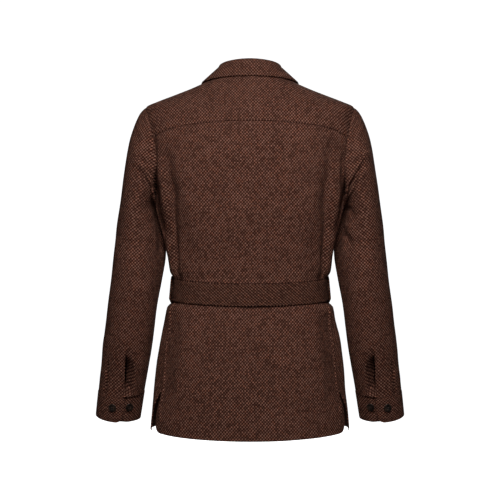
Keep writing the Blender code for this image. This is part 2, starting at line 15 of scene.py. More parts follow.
import bpy
import numpy as np
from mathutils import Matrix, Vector


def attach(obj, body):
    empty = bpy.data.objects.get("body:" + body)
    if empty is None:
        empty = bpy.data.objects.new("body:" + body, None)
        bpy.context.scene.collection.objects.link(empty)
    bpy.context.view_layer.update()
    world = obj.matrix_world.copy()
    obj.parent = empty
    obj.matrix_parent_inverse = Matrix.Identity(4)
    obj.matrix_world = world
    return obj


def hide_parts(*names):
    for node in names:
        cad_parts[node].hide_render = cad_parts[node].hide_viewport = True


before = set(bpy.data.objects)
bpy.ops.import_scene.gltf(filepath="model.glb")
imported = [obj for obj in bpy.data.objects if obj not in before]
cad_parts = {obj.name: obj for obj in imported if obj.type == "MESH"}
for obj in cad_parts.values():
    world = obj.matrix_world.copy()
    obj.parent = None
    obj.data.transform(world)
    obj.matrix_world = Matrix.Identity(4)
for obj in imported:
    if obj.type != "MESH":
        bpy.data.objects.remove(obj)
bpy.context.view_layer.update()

# Cloth walls and the gaps between pieces
CLOTH = 0.002
DOUBLE_CLOTH = 0.003
BELT_CLOTH = 0.0035
LAY_GAP = 0.0006
BELT_GAP = 0.0022
BLOUSE = 0.0052
BLOUSE_REACH = 0.022
SEAM_LAP = 0.0010
SEAM_DEPTH = 0.0008
SEAM_WIDTH = 0.0022

# Heights
NECK = 0.011
ARMHOLE_TOP = -0.047
ARMPIT = -0.246
WAIST = -0.412
VENT_TOP = -0.600
HEM = -0.688

# Armhole, an egg seen from the side
ARMHOLE_Y = -0.004
ARMHOLE_BACK = 0.064
ARMHOLE_FRONT = 0.068
ARMHOLE_ANGLES = np.linspace(180, -180, 145)
ARMHOLE_STEP = 0.005
YOKE_ANGLE = 70
FRONT_SEAM_ANGLE = -25

# Seams and edges of the body
YOKE_RISE = 0.036
YOKE_POWER = 2.1
YOKE_LENGTH = 0.11
YOKE_DIPS = (3.0, 0.5)
SIDE_TURN = 0.70
FRONT_LAP = 0.018
VENT_SPREAD = 0.028
VENT_FLARE = 0.005
VENT_OUT = 0.010
HEM_ROUND = 0.018
UNDERLAP_RISE = 0.0065
COLLAR_ROLL = 0.005

# Sleeve slit, tuck and cuff
SLIT_ANGLE = 90
SLIT_RING = 11.8
SLIT_DEEP_RING = 12.8
SLIT_WIDE_RING = 13.1
SLIT_CLOSE_RING = 13.6
SLIT_DEPTH = 0.030
SLIT_SLOPE = 26
SLIT_PULL = 45
SLIT_DRIFT = 9
SLIT_LAP = 12
SLIT_OPEN = 12
SLIT_SPREAD = 40
TUCK_ANGLE = 45
TUCK_RINGS = (12.1, 13.0)
TUCK_CLOSE_RING = 13.5
TUCK_SPREAD = 3.2
TUCK_DEPTH = 0.013
UNDERARM_LEAN = 0.030
CUFF_RING = 14
CUFF_END = 15
CUFF_LAP_ANGLE = 104
CUFF_UNDER = 32
CUFF_ROUND = 0.014
CUFF_HEIGHT = 0.050
CUFF_RADIUS = 0.044
CUFF_LIFT = 0.0008
CUFF_SINK = 0.004

# Belt, buckle and loops
BELT_HEIGHT = 0.042
BELT_SAG = 0.0085
BELT_TAIL = 0.112
TAIL_RISE = 0.0082
BUCKLE_BAR = 0.0045
BUCKLE_ROOM = 0.002
BUCKLE_DEPTH = 0.003
BUCKLE_HALF = 0.020
BUCKLE_TILT = 0.0046
LOOP_TURN = 0.96
LOOP_WIDTH = 0.013
LOOP_CLOTH = 0.003

# Buttons
FRONT_BUTTON = 0.0105
CUFF_BUTTON = 0.008
BUTTON_LEVELS = (-0.060, -0.189, -0.272, -0.352, -0.490, -0.572)
CUFF_BUTTON_ANGLES = (76, 119)
CUFF_BUTTON_RING = CUFF_RING + 0.42

# Barleycorn weave, and how far a quarter turn, a degree and a ring are along the cloth
GRAIN_WIDE = 0.0059
GRAIN_HIGH = 0.0066
YARNS = 5
TURN_SPAN = 0.26
ANGLE_SPAN = 0.00095
RING_SPAN = 0.043

# Camera of the photograph
CAMERA_DISTANCE = 3.0
CAMERA_HEIGHT = -0.333
CAMERA_LENS = 108

SIDES = ((1, "left"), (-1, "right"))
LEVEL = np.array([1, 1, 0])
UP = np.array([0, 0, 1.0])


class Table:
    """Rows of named columns, read smoothly and without overshoot along the first column."""

    def __init__(self, columns, *rows):
        self.names = columns.split()
        self.rows = np.array(rows, float)
        rise = np.diff(self.rows, axis=0) / np.diff(self.rows[:, :1], axis=0)
        both = rise[:-1] * rise[1:]
        total = np.where(both > 0, rise[:-1] + rise[1:], 1)
        inner = np.where(both > 0, 2 * both / total, 0)
        self.slopes = np.vstack([rise[:1], inner, rise[-1:]])

    def read(self, at):
        at = np.asarray(at, float)
        k = np.clip(np.searchsorted(self.rows[:, 0], at) - 1, 0, len(self.rows) - 2)
        low, high = self.rows[k], self.rows[k + 1]
        step = high[..., :1] - low[..., :1]
        s = (at[..., None] - low[..., :1]) / step
        value = (low * (1 + 2 * s) * (1 - s) ** 2 + high * s * s * (3 - 2 * s)
                 + self.slopes[k] * step * s * (1 - s) ** 2
                 + self.slopes[k + 1] * step * s * s * (s - 1))
        return dict(zip(self.names, np.moveaxis(value, -1, 0)))


TORSO = Table(
    "level z_back z_front half_width y_back y_front square",
    (HEM, -0.701, -0.692, 0.194, 0.122, -0.128, 2.6),
    (-0.6, -0.605, -0.601, 0.19, 0.12, -0.126, 2.6),
    (-0.521, -0.523, -0.521, 0.181, 0.114, -0.121, 2.6),
    (-0.473, -0.473, -0.473, 0.171, 0.107, -0.115, 2.6),
    (-0.446, -0.446, -0.446, 0.1655, 0.101, -0.11, 2.6),
    (-0.435, -0.435, -0.435, 0.1525, 0.097, -0.107, 2.5),
    (WAIST, -0.412, -0.412, 0.145, 0.094, -0.104, 2.5),
    (-0.391, -0.391, -0.391, 0.147, 0.094, -0.104, 2.5),
    (-0.375, -0.375, -0.375, 0.158, 0.097, -0.107, 2.5),
    (-0.345, -0.345, -0.345, 0.164, 0.101, -0.11, 2.5),
    (-0.293, -0.293, -0.293, 0.176, 0.109, -0.118, 2.5),
    (ARMPIT, -0.246, -0.248, 0.187, 0.114, -0.124, 2.6),
    (-0.19, -0.19, -0.206, 0.197, 0.116, -0.126, 2.6),
    (-0.133, -0.134, -0.168, 0.205, 0.113, -0.122, 2.6),
    (-0.085, -0.09, -0.142, 0.209, 0.106, -0.117, 2.5),
    (-0.052, -0.061, -0.124, 0.209, 0.1, -0.112, 2.3),
    (ARMHOLE_TOP, -0.056, -0.12, 0.206, 0.098, -0.111, 2.2),
    (-0.037, -0.043, -0.11, 0.184, 0.093, -0.106, 2.1),
    (-0.025, -0.029, -0.098, 0.153, 0.086, -0.1, 2),
    (-0.013, -0.014, -0.086, 0.122, 0.079, -0.094, 2),
    (-0.001, 0, -0.076, 0.094, 0.0725, -0.088, 2),
    (NECK, 0.016, -0.066, 0.064, 0.064, -0.082, 2),
)

# Large soft folds of the torso, the same on both sides; rise is outward.
# Columns: turn spread low high fade rise
TORSO_FOLDS = (
    (0.5, 0.08, -0.375, -0.17, 0.06, -0.004),
    (0.38, 0.07, -0.375, -0.21, 0.07, 0.002),
    (0.49, 0.045, -0.65, -0.438, 0.06, 0.0022),
    (0.747, 0.093, -0.65, -0.438, 0.06, -0.0056),
    (0.622, 0.118, -0.65, -0.438, 0.06, -0.0072),
    (1.45, 0.1, -0.38, -0.26, 0.05, -0.004),
    (1.35, 0.1, -0.64, -0.445, 0.05, -0.004),
)

SLEEVE = Table(
    "ring inner_x inner_z outer_x outer_z y_mid half_depth back_drop",
    (0, 0.188, -0.246, 0.206, -0.047, -0.006, 0.066, 0),
    (1, 0.188, -0.2465, 0.216, -0.056, -0.006, 0.068, 0),
    (2, 0.188, -0.249, 0.2265, -0.074, -0.006, 0.07, 0),
    (3, 0.1868, -0.254, 0.238, -0.105, -0.006, 0.072, 0),
    (4, 0.1838, -0.262, 0.248, -0.152, -0.006, 0.073, 0.002),
    (5, 0.1803, -0.274, 0.2555, -0.2, -0.006, 0.073, 0.003),
    (6, 0.1748, -0.293, 0.262, -0.249, -0.006, 0.072, 0.004),
    (7, 0.1688, -0.321, 0.268, -0.297, -0.006, 0.069, 0.005),
    (8, 0.1695, -0.347, 0.2725, -0.337, -0.006, 0.066, 0.005),
    (9, 0.1765, -0.395, 0.2785, -0.389, -0.006, 0.062, 0.006),
    (10, 0.1845, -0.441, 0.2845, -0.439, -0.009, 0.058, 0.007),
    (11, 0.191, -0.485, 0.2905, -0.488, -0.015, 0.055, 0.009),
    (12, 0.1976, -0.53, 0.297, -0.533, -0.023, 0.052, 0.01),
    (13, 0.206, -0.576, 0.3015, -0.576, -0.032, 0.048, 0.01),
    (CUFF_RING, 0.214, -0.619, 0.307, -0.617, -0.041, 0.045, 0.01),
    (CUFF_END, 0.223, -0.673, 0.313, -0.666, -0.052, 0.0425, 0.01),
)

# Soft folds of the sleeve, as ridges on a slanted line; slant is degrees a ring.
# Columns: angle spread ring reach slant rise
SLEEVE_FOLDS = (
    (122, 20, 4.6, 1.6, -14, -0.006),
    (90, 18, 4.4, 1.6, -14, 0.004),
    (-110, 16, 4.6, 1.6, 14, -0.006),
    (150, 20, 9.2, 1.2, 10, -0.003),
    (-150, 18, 9.6, 0.9, -10, -0.004),
)

COLLAR = Table(
    "turn stand lean edge_turn edge_level",
    (0, 0.026, -0.003, 0, 0.004),
    (0.5, 0.026, -0.007, 0.55, 0.0025),
    (1, 0.025, -0.0095, 1, -0.0012),
    (1.4, 0.025, -0.005, 1.36, -0.009),
    (1.75, 0.026, 0.002, 1.6, -0.022),
    (1.98, 0.023, 0.006, 1.74, -0.033),
)

# Creases of the body, each on a straight line; rise is outward and lean tips its two sides.
# The deep hollows behind the arms rise towards the back instead.
# Columns: from_turn from_level to_turn to_level width rise lean
BODY_HOLLOWS = (
    (0.755, -0.178, 0.765, -0.31, 0.018, -0.04, 0),
    (-0.755, -0.19, -0.76, -0.3, 0.015, -0.028, 0),
)
BODY_CREASES = (
    (0.53, -0.135, 0.55, -0.25, 0.014, -0.009, 0.0015),
    (0.545, -0.215, 0.7, -0.395, 0.015, -0.014, 0.002),
    (-0.5, -0.125, -0.54, -0.265, 0.013, -0.008, -0.0015),
    (-0.545, -0.23, -0.69, -0.395, 0.014, -0.012, -0.002),
    (0.625, -0.145, 0.65, -0.245, 0.009, 0.0024, 0.001),
    (0.65, -0.22, 0.82, -0.38, 0.01, 0.003, 0.001),
    (-0.62, -0.15, -0.65, -0.25, 0.009, 0.0026, -0.001),
    (-0.655, -0.225, -0.82, -0.38, 0.01, 0.0032, -0.001),
    (0.64, -0.105, 0.68, -0.185, 0.008, -0.0045, 0.001),
    (-0.625, -0.145, -0.66, -0.205, 0.009, -0.005, -0.0014),
    (0.69, -0.44, 0.712, -0.54, 0.0026, 0.0042, 0.0006),
    (0.712, -0.53, 0.65, -0.675, 0.0026, 0.0036, 0),
    (-0.69, -0.44, -0.714, -0.54, 0.0026, 0.0042, -0.0006),
    (-0.714, -0.53, -0.65, -0.675, 0.0026, 0.0036, 0),
    (-0.3, -0.3, -0.33, -0.388, 0.014, -0.0012, 0.0006),
    (0.22, -0.31, 0.26, -0.388, 0.012, -0.001, -0.0006),
    (0.03, -0.437, 0.02, -0.474, 0.006, -0.003, 0.0008),
    (0.3, -0.448, 0.36, -0.6, 0.022, -0.0014, 0.0008),
    (-0.24, -0.448, -0.3, -0.64, 0.024, 0.0012, 0.001),
    (-0.4, -0.446, -0.43, -0.58, 0.01, 0.0018, -0.0006),
    (0.43, -0.446, 0.44, -0.58, 0.01, 0.0016, 0.0006),
    (-0.08, -0.53, -0.14, -0.68, 0.03, -0.0012, 0),
    (1.3, -0.26, 1.48, -0.385, 0.012, -0.0022, 0.0012),
    (-1.28, -0.27, -1.44, -0.385, 0.012, -0.0018, -0.0012),
    (1.62, -0.3, 1.66, -0.388, 0.011, -0.0012, 0.0006),
    (-1.66, -0.31, -1.62, -0.388, 0.011, 0.0012, 0.0006),
    (1.3, -0.448, 1.26, -0.6, 0.018, -0.0016, 0.0008),
    (-1.36, -0.448, -1.3, -0.62, 0.02, -0.0014, 0.001),
    (1.62, -0.448, 1.6, -0.56, 0.016, 0.001, 0.0004),
    (-1.58, -0.448, -1.6, -0.54, 0.016, 0.001, -0.0004),
)

# Creases of each sleeve, each on a straight line.
# Columns: from_angle from_ring to_angle to_ring width rise lean
SLEEVE_CREASES = {
    1: (
        (62, 3.5, 132, 1.3, 0.007, 0.008, -0.002),
        (116, 1.7, 156, 1.3, 0.008, 0.01, 0),
        (94, 2.4, 126, 0.5, 0.006, -0.004, 0.001),
        (150, 3, 154, 8, 0.012, -0.008, 0.0016),
        (138, 4, 104, 5.4, 0.01, -0.003, 0.0016),
        (134, 5.6, 100, 6.6, 0.011, -0.0024, 0.001),
        (60, 6.2, 20, 7.6, 0.014, -0.001, 0.0008),
        (158, 7.2, 116, 8.4, 0.01, -0.0016, 0.001),
        (140, 8.8, 92, 9.6, 0.01, 0.0012, -0.0008),
        (36, 10.6, 8, 11.6, 0.012, -0.001, 0.0006),
        (112, 10.6, 128, 12.6, 0.01, -0.0014, 0.001),
        (-100, 3.4, -140, 5, 0.01, -0.0022, 0.0016),
        (-150, 7, -96, 8.4, 0.01, -0.0022, 0.0014),
        (-150, 8.6, -100, 9.2, 0.009, 0.0018, 0.0012),
        (-60, 11.2, -84, 12.8, 0.012, -0.0012, 0.0008),
    ),
    -1: (
        (34, 3.6, 104, 2.4, 0.006, 0.005, -0.0016),
        (92, 2.7, 142, 0.6, 0.006, 0.005, -0.0016),
        (62, 4, 122, 3, 0.006, 0.005, 0.0016),
        (112, 3.3, 160, 1.2, 0.007, 0.007, 0.0016),
        (122, 1.6, 158, 1.3, 0.008, 0.009, 0),
        (70, 3.4, 146, 1.5, 0.005, -0.005, 0.001),
        (150, 4.1, 104, 5.9, 0.009, -0.0085, 0.0012),
        (158, 5.9, 106, 7.2, 0.008, -0.0075, 0.0014),
        (152, 2.8, 156, 7.8, 0.012, -0.008, 0.0016),
        (150, 7, 96, 8, 0.012, 0.0012, 0.0012),
        (52, 7.6, 18, 8.6, 0.013, -0.001, 0.0008),
        (148, 9, 108, 9.4, 0.01, -0.0014, 0.0008),
        (28, 10.4, 10, 12, 0.012, -0.0012, 0.0008),
        (116, 11, 130, 12.8, 0.01, -0.0012, -0.001),
        (-96, 3.6, -142, 4.8, 0.01, -0.0022, 0.0014),
        (-146, 7.4, -100, 8.2, 0.01, -0.0024, 0.0012),
        (-152, 9, -104, 9.8, 0.01, 0.0016, 0.0012),
        (-64, 11, -80, 13, 0.012, -0.0012, 0.0006),
    ),
}

# Gentle unevenness of hung cloth, as waves across and along a panel in waves a metre.
# Columns: across along phase height
RIPPLES = (
    (7.1, 2.3, 0.4, 0.0005),
    (-5.2, 6.4, 2.1, 0.0004),
    (12.7, -4.6, 4, 0.00028),
    (3.4, 14.2, 1.2, 0.00024),
    (-17.3, 9.1, 5.1, 0.00016),
)


def smooth(low, high, x):
    """0 below low, 1 above high and an even rise between."""
    s = np.clip((np.asarray(x, float) - low) / (high - low), 0, 1)
    return s * s * (3 - 2 * s)


def unit(vectors):
    return vectors / np.maximum(np.linalg.norm(vectors, axis=-1, keepdims=True), 1e-12)


def wrapped(angle):
    return (np.asarray(angle, float) + 180) % 360 - 180


def stretches(start, *runs):
    """Places from start on, in even steps through runs of an end and a count of steps."""
    places = [np.array([start])]
    for end, steps in runs:
        places.append(np.linspace(places[-1][-1], end, steps + 1)[1:])
    return np.concatenate(places)


def corner_cut(radius, from_edge):
    """How far a rounded corner holds the side back, this far from the end."""
    left = np.maximum(radius - from_edge, 0)
    return radius - np.sqrt(radius ** 2 - left ** 2)


def creased(rows, across, along, span, turning=np.asarray):
    """Sum of straight creases; span is metres a step across and along, turning wraps degrees."""
    total = 0
    for from_a, from_b, to_a, to_b, width, rise, lean in rows:
        step = np.array([(to_a - from_a) * span[0], (to_b - from_b) * span[1]])
        length = np.linalg.norm(step)
        step = step / length
        a = turning(across - from_a) * span[0]
        b = (along - from_b) * span[1]
        reach = (a * step[0] + b * step[1]) / length
        off = (a * step[1] - b * step[0]) / width
        fade = smooth(-0.15, 0.25, reach) * (1 - smooth(0.70, 1.15, reach))
        total = total + (rise + lean * off) * np.exp(-off ** 2) * fade
    return total


def rippled(across, along):
    """Gentle unevenness at a place given in metres."""
    return sum(height * np.sin(2 * math.pi * (wide * across + long * along) + phase)
               for wide, long, phase, height in RIPPLES)


def torso_folds(turn, level):
    total = 0
    for middle, spread, low, high, fade, rise in TORSO_FOLDS:
        window = smooth(low, low + fade, level) * (1 - smooth(high - fade, high, level))
        total = total + rise * window * np.exp(-((np.abs(turn) - middle) / spread) ** 2)
    return total


def torso(turn, level):
    """Point of the outer face of the body cloth, before its creases."""
    row = TORSO.read(level)
    angle = np.asarray(turn, float) * math.pi / 2
    across, along = np.sin(angle), np.cos(angle)
    depth = np.where(along >= 0, row["y_back"], -row["y_front"])
    height = np.where(along >= 0, row["z_back"], row["z_front"])
    aim = np.arctan2(row["half_width"] * across, depth * along)
    square = row["square"]
    reach = ((np.abs(np.sin(aim)) / row["half_width"]) ** square
             + (np.abs(np.cos(aim)) / depth) ** square) ** (-1 / square)
    reach = reach + torso_folds(turn, level)
    z = level + (height - level) * along ** 2
    return np.stack([reach * np.sin(aim), reach * np.cos(aim), z], -1)


def torso_normal(turn, level):
    across = torso(turn + 0.002, level) - torso(turn - 0.002, level)
    up = torso(turn, level + 0.0004) - torso(turn, level - 0.0004)
    return unit(np.cross(up, across))


def torso_out(turn, level):
    """Outward direction without its rise."""
    return unit(torso_normal(turn, level) * LEVEL)


def bloused(turn, level):
    """Cloth that spills over the belt's upper edge."""
    over = level - belt_middle(turn) - BELT_HEIGHT / 2
    return BLOUSE * smooth(-0.0020, 0.0022, over) * np.exp(-np.maximum(over, 0) / BLOUSE_REACH)


def seam_dip(distance):
    """How deep cloth dips this far from its seam."""
    return SEAM_DEPTH * np.exp(-(np.asarray(distance, float) / SEAM_WIDTH) ** 2)


def body_cloth(turn, level, sunk=0.0):
    """Point of the creased body cloth, sunk at its seams."""
    lift = creased(BODY_CREASES, turn, level, (TURN_SPAN, 1.0))
    lift = lift + rippled(turn * TURN_SPAN, level) * smooth(-0.08, -0.20, level)
    lift = lift + bloused(turn, level) - sunk
    points = torso(turn, level) + torso_normal(turn, level) * lift[..., None]
    points[..., 1] += creased(BODY_HOLLOWS, turn, level, (TURN_SPAN, 1.0))
    return points


def turn_by(turn, level, distance):
    """The turn that lies this far round the ring of cloth."""
    speed = np.linalg.norm(torso(turn + 0.01, level) - torso(turn - 0.01, level), axis=-1) / 0.02
    return turn + distance / speed


def armhole_places():
    """Turn and level on the torso of each armhole angle, by Newton's method."""
    angle = np.radians(ARMHOLE_ANGLES)
    middle, half = (ARMHOLE_TOP + ARMPIT) / 2, (ARMHOLE_TOP - ARMPIT) / 2
    width = np.where(np.sin(angle) > 0, ARMHOLE_BACK, ARMHOLE_FRONT)
    goal = np.stack([ARMHOLE_Y + width * np.sin(angle), middle + half * np.cos(angle)], -1)
    turn = 1 - goal[:, 0] / 0.17
    level = goal[:, 1] + 0.0
    for _ in range(40):
        miss = goal - torso(turn, level)[:, 1:]
        by_turn = (torso(turn + 1e-4, level) - torso(turn - 1e-4, level))[:, 1:] / 2e-4
        by_level = (torso(turn, level + 1e-5) - torso(turn, level - 1e-5))[:, 1:] / 2e-5
        area = by_turn[:, 0] * by_level[:, 1] - by_turn[:, 1] * by_level[:, 0]
        turn = turn + 0.7 * (miss[:, 0] * by_level[:, 1] - miss[:, 1] * by_level[:, 0]) / area
        level = level + 0.7 * (by_turn[:, 0] * miss[:, 1] - by_turn[:, 1] * miss[:, 0]) / area
    return turn, level


ARMHOLE_TURN, ARMHOLE_LEVEL = armhole_places()
ARMHOLE_EDGE = torso(ARMHOLE_TURN, ARMHOLE_LEVEL)
YOKE_AT = int(np.argmin(np.abs(ARMHOLE_ANGLES - YOKE_ANGLE)))
FRONT_SEAM_AT = int(np.argmin(np.abs(ARMHOLE_ANGLES - FRONT_SEAM_ANGLE)))
HEM_STEPS = np.array([0.0, 0.0006, 0.0015, 0.003, 0.005, 0.008, 0.012, 0.018])
BODY_LEVELS = stretches(HEM + HEM_STEPS[-1], (-0.407, 60), (-0.380, 20), (ARMPIT, 31))[1:-1]


def side_seam(level):
    """Turn of the side seam, which runs back from the armpit to the waist."""
    return SIDE_TURN + (ARMHOLE_TURN[0] - SIDE_TURN) * smooth(WAIST, ARMPIT, level)


def fanned(count):
    """Even places from -1 to 1, a little closer together at both ends."""
    return np.sin(np.linspace(-1, 1, count) * math.radians(72)) / math.sin(math.radians(72))


def back_panel():
    columns = fanned(131)
    body = np.concatenate([HEM + HEM_STEPS, BODY_LEVELS])
    cut = np.concatenate([corner_cut(HEM_ROUND, HEM_STEPS), 0 * BODY_LEVELS])
    edge = turn_by(side_seam(body), body, VENT_OUT * smooth(VENT_TOP, HEM, body) - cut)
    step = np.concatenate([np.arange(YOKE_AT), YOKE_AT - np.array([0.6, 0.38, 0.18, 0])])
    places = np.arange(len(ARMHOLE_ANGLES))
    edge = np.concatenate([edge, np.interp(step, places, ARMHOLE_TURN)])
    level = np.concatenate([body, np.interp(step, places, ARMHOLE_LEVEL)])
    arm = np.concatenate([np.full(len(body), -1.0), step])[:, None]
    rise = YOKE_RISE * np.maximum(arm / YOKE_AT, 0) ** 2
    turn = edge[:, None] * columns
    level = level[:, None] + rise * (1 - np.abs(columns) ** YOKE_POWER)
    sunk = YOKE_DIPS[0] * seam_dip((YOKE_AT - arm) * ARMHOLE_STEP) * (arm >= 0)
    beside = armhole_dip(180 - 2.5 * arm, (1 - np.abs(columns)) * edge[:, None] * TURN_SPAN)
    return body_cloth(turn, level, np.maximum(sunk, beside * (arm >= 0))), body_weave(turn, level, 0.0)


def back_yoke():
    columns = fanned(111)
    seam_turn = columns * ARMHOLE_TURN[YOKE_AT]
    seam_level = ARMHOLE_LEVEL[YOKE_AT] + YOKE_RISE * (1 - np.abs(columns) ** YOKE_POWER)
    over = slice(YOKE_AT + 1, FRONT_SEAM_AT + 1)
    turn = np.concatenate([-ARMHOLE_TURN[over][::-1], seam_turn, ARMHOLE_TURN[over]])
    low = np.concatenate([ARMHOLE_LEVEL[over][::-1], seam_level, ARMHOLE_LEVEL[over]])
    share = np.concatenate([[0, 0.008, 0.017, 0.028], np.linspace(0, 1, 46)[2:]])[:, None]
    level = low + (NECK - low) * share
    return body_cloth(turn + 0 * level, level, YOKE_DIPS[1] * seam_dip(share * YOKE_LENGTH))


def front_panel(side):
    """Left front at side 1, or at side -1 the right front, which lies under it."""
    body = np.concatenate([HEM + HEM_STEPS[::2], BODY_LEVELS])
    opened = VENT_SPREAD * (1 - (1 - np.clip((VENT_TOP - body) / (VENT_TOP - HEM), 0, 1)) ** 2)
    edge = turn_by(side_seam(body), body, opened)
    arm = slice(len(ARMHOLE_ANGLES) - 1, FRONT_SEAM_AT - 1, -1)
    corner = ARMHOLE_LEVEL[FRONT_SEAM_AT]
    neck = corner + (NECK - corner) * np.linspace(0, 1, 22)[1:]
    edge = np.concatenate([edge, ARMHOLE_TURN[arm], ARMHOLE_TURN[FRONT_SEAM_AT] + 0 * neck])
    level = np.concatenate([body, ARMHOLE_LEVEL[arm], neck])[:, None]
    middle = 2 + np.arcsin(FRONT_LAP / TORSO.read(level)["half_width"]) * 2 / math.pi
    share = (fanned(61) + 1) / 2
    turn = edge[:, None] + (middle - edge[:, None]) * share
    level = level + 0 * turn
    at = np.concatenate([np.full(len(body), 180.0), ARMHOLE_ANGLES[arm], 0 * neck])[:, None]
    points = body_cloth(side * turn, level, armhole_dip(at, share * 0.20))
    flare = VENT_FLARE * smooth(VENT_TOP, HEM, level) * (1 - smooth(0, 0.35, share))
    lower = smooth(-0.055, -0.022, points[..., 0]) if side < 0 else 0
    lift = flare - (CLOTH + LAY_GAP) * lower
    points = points + torso_normal(side * turn, level) * lift[..., None]
    # The lower front reaches up behind the collar, so no gap shows at the neck
    points[..., 2] += UNDERLAP_RISE * lower * smooth(NECK - 0.030, NECK, level)
    return points, body_weave(side * turn, level, 2.0 * side)


def sleeve_ring(ring, angle):
    """Point of the sleeve before its slit, tuck and folds."""
    row = SLEEVE.read(ring)
    turned = np.radians(angle)
    out, back = np.cos(turned), np.sin(turned)
    share = (1 + out) / 2
    x, z = (row["inner_" + a] * (1 - share) + row["outer_" + a] * share for a in "xz")
    y = row["y_mid"] + row["half_depth"] * back
    near = smooth(0.5, 4.0, ring) * (1 - smooth(6.5, 9.5, ring))
    y = y - UNDERARM_LEAN * near * (1 - share) ** 2
    return np.stack([x, y, z - row["back_drop"] * back], -1)


def along_armhole(angle, values):
    """Value of each column at this angle of the armhole."""
    at = -wrapped(angle)
    return np.stack([np.interp(at, -ARMHOLE_ANGLES, column) for column in values.T], -1)


def armhole_crease(angle, side):
    """How far the creases of one side move the armhole edge, as seen on the left."""
    edge = body_cloth(side * ARMHOLE_TURN, ARMHOLE_LEVEL) * np.array([side, 1, 1])
    return along_armhole(angle, edge - ARMHOLE_EDGE)


def armhole_dip(angle, distance):
    """Dip of the cloth beside the armhole seam, which fades out under the arm."""
    return seam_dip(distance) * smooth(182, 160, np.abs(wrapped(angle)))


def sleeve_folds(ring, angle):
    total = 0
    for middle, spread, middle_ring, reach, slant, rise in SLEEVE_FOLDS:
        along = ring - middle_ring
        across = wrapped(angle - middle - slant * along)
        total = total + rise * np.exp(-(across / spread) ** 2 - (along / reach) ** 2)
    return total


def sleeve_shape(ring, angle, side=0):
    """Outer face of the left sleeve on its armhole edge; side adds the creases of that side."""
    start = along_armhole(angle, ARMHOLE_EDGE) - sleeve_ring(np.zeros_like(ring), angle)
    points = sleeve_ring(ring, angle) + start * (1 - smooth(0, 3, ring))[..., None]
    away = points - sleeve_ring(ring, angle + 180)
    lift = sleeve_folds(ring, angle)
    if side:
        points = points + armhole_crease(angle, side) * (1 - smooth(0, 1.1, ring))[..., None]
        fade = smooth(0, 0.8, ring) * (1 - smooth(13.2, CUFF_RING, ring))
        rows = SLEEVE_CREASES[side]
        lift = lift + fade * creased(rows, angle, ring, (ANGLE_SPAN, RING_SPAN), wrapped)
        near = smooth(180, 150, np.abs(wrapped(angle)))
        lift = lift + fade * near * rippled(angle * ANGLE_SPAN * side, ring * RING_SPAN)
    return points + unit(away) * lift[..., None]


def sleeve_normal(ring, angle, side=0):
    around = sleeve_shape(ring, angle + 0.5, side) - sleeve_shape(ring, angle - 0.5, side)
    low = np.maximum(ring - 0.05, 0)
    down = sleeve_shape(ring + 0.05, angle, side) - sleeve_shape(low, angle, side)
    return unit(np.cross(down, around))


# Grid of a sleeve, whose columns run from the inner line round the back to the inner line
SLEEVE_RINGS = stretches(0, (3, 33), (12, 69), (CUFF_RING, 40))
UNDER_ANGLES = stretches(180, (120, 21), (SLIT_ANGLE, 20))
OVER_ANGLES = stretches(SLIT_ANGLE, (58, 14), (32, 26), (-180, 73))
SLEEVE_GRID = np.meshgrid(SLEEVE_RINGS, np.concatenate([UNDER_ANGLES, OVER_ANGLES]), indexing="ij")


def sleeve(side):
    """Left sleeve with the creases of one side, its slit and its tuck."""
    ring, angle = SLEEVE_GRID
    lapped = np.arange(angle.shape[1]) < len(UNDER_ANGLES)
    below = smooth(SLIT_RING, SLIT_DEEP_RING, ring)
    closing = smooth(SLIT_CLOSE_RING, CUFF_RING, ring)
    under = smooth(SLIT_ANGLE + SLIT_SLOPE, SLIT_ANGLE - 3, angle) * lapped
    gape = smooth(SLIT_RING, SLIT_WIDE_RING, ring) * (1 - closing)
    shift = (SLIT_OPEN * gape - SLIT_LAP * closing) * lapped
    drift = SLIT_DRIFT * np.exp(-((angle - SLIT_ANGLE) / SLIT_SPREAD) ** 2)
    drift = drift * smooth(SLIT_RING, CUFF_RING, ring)
    angle = angle + drift + shift * smooth(SLIT_ANGLE + SLIT_PULL, SLIT_ANGLE, angle)
    tuck = np.exp(-((angle - TUCK_ANGLE) / TUCK_SPREAD) ** 2) * smooth(*TUCK_RINGS, ring)
    tuck = tuck * (1 - 0.9 * smooth(TUCK_CLOSE_RING, CUFF_RING, ring)) * ~lapped
    depth = (SLIT_DEPTH + (DOUBLE_CLOTH + LAY_GAP - SLIT_DEPTH) * closing) * below
    sunk = depth * under + TUCK_DEPTH * tuck
    points = sleeve_shape(ring, angle, side) - sleeve_normal(ring, angle, side) * sunk[..., None]
    normal = along_armhole(angle, torso_normal(ARMHOLE_TURN, ARMHOLE_LEVEL))
    return points - normal * armhole_dip(angle, ring * 0.012)[..., None]


def sleeve_weave():
    """Weave of the left sleeve as it was before its slit and tuck, straight down its middle line."""
    ring, angle = SLEEVE_GRID
    points = sleeve_shape(ring, angle)
    known = np.linspace(6, CUFF_END, 37)
    middle = (sleeve_ring(known, 0 * known) + sleeve_ring(known, 0 * known + 180)) / 2
    down = unit(middle[-12] - middle[0])
    travel = (middle - middle[0]) @ down
    along = (points - middle[0]) @ down
    off = points - middle[0] - along[..., None] * down
    bend = middle - middle[0] - travel[:, None] * down
    off = off - np.stack([np.interp(along, travel, column) for column in bend.T], -1)
    turned = np.degrees(np.arctan2(off[..., 1], off[..., 0]))
    turned = np.radians(turned + 360 * np.round((angle - turned) / 360))
    row = SLEEVE.read(known)
    wide = np.interp(along, travel, (row["outer_x"] - row["inner_x"]) / 2)
    deep = np.interp(along, travel, row["half_depth"])
    steps = np.linspace(0, 1, 25)[:, None, None] * turned
    reach = wide * deep / np.hypot(deep * np.cos(steps), wide * np.sin(steps))
    around = reach.mean(0) * turned
    return np.stack([around, along], -1)


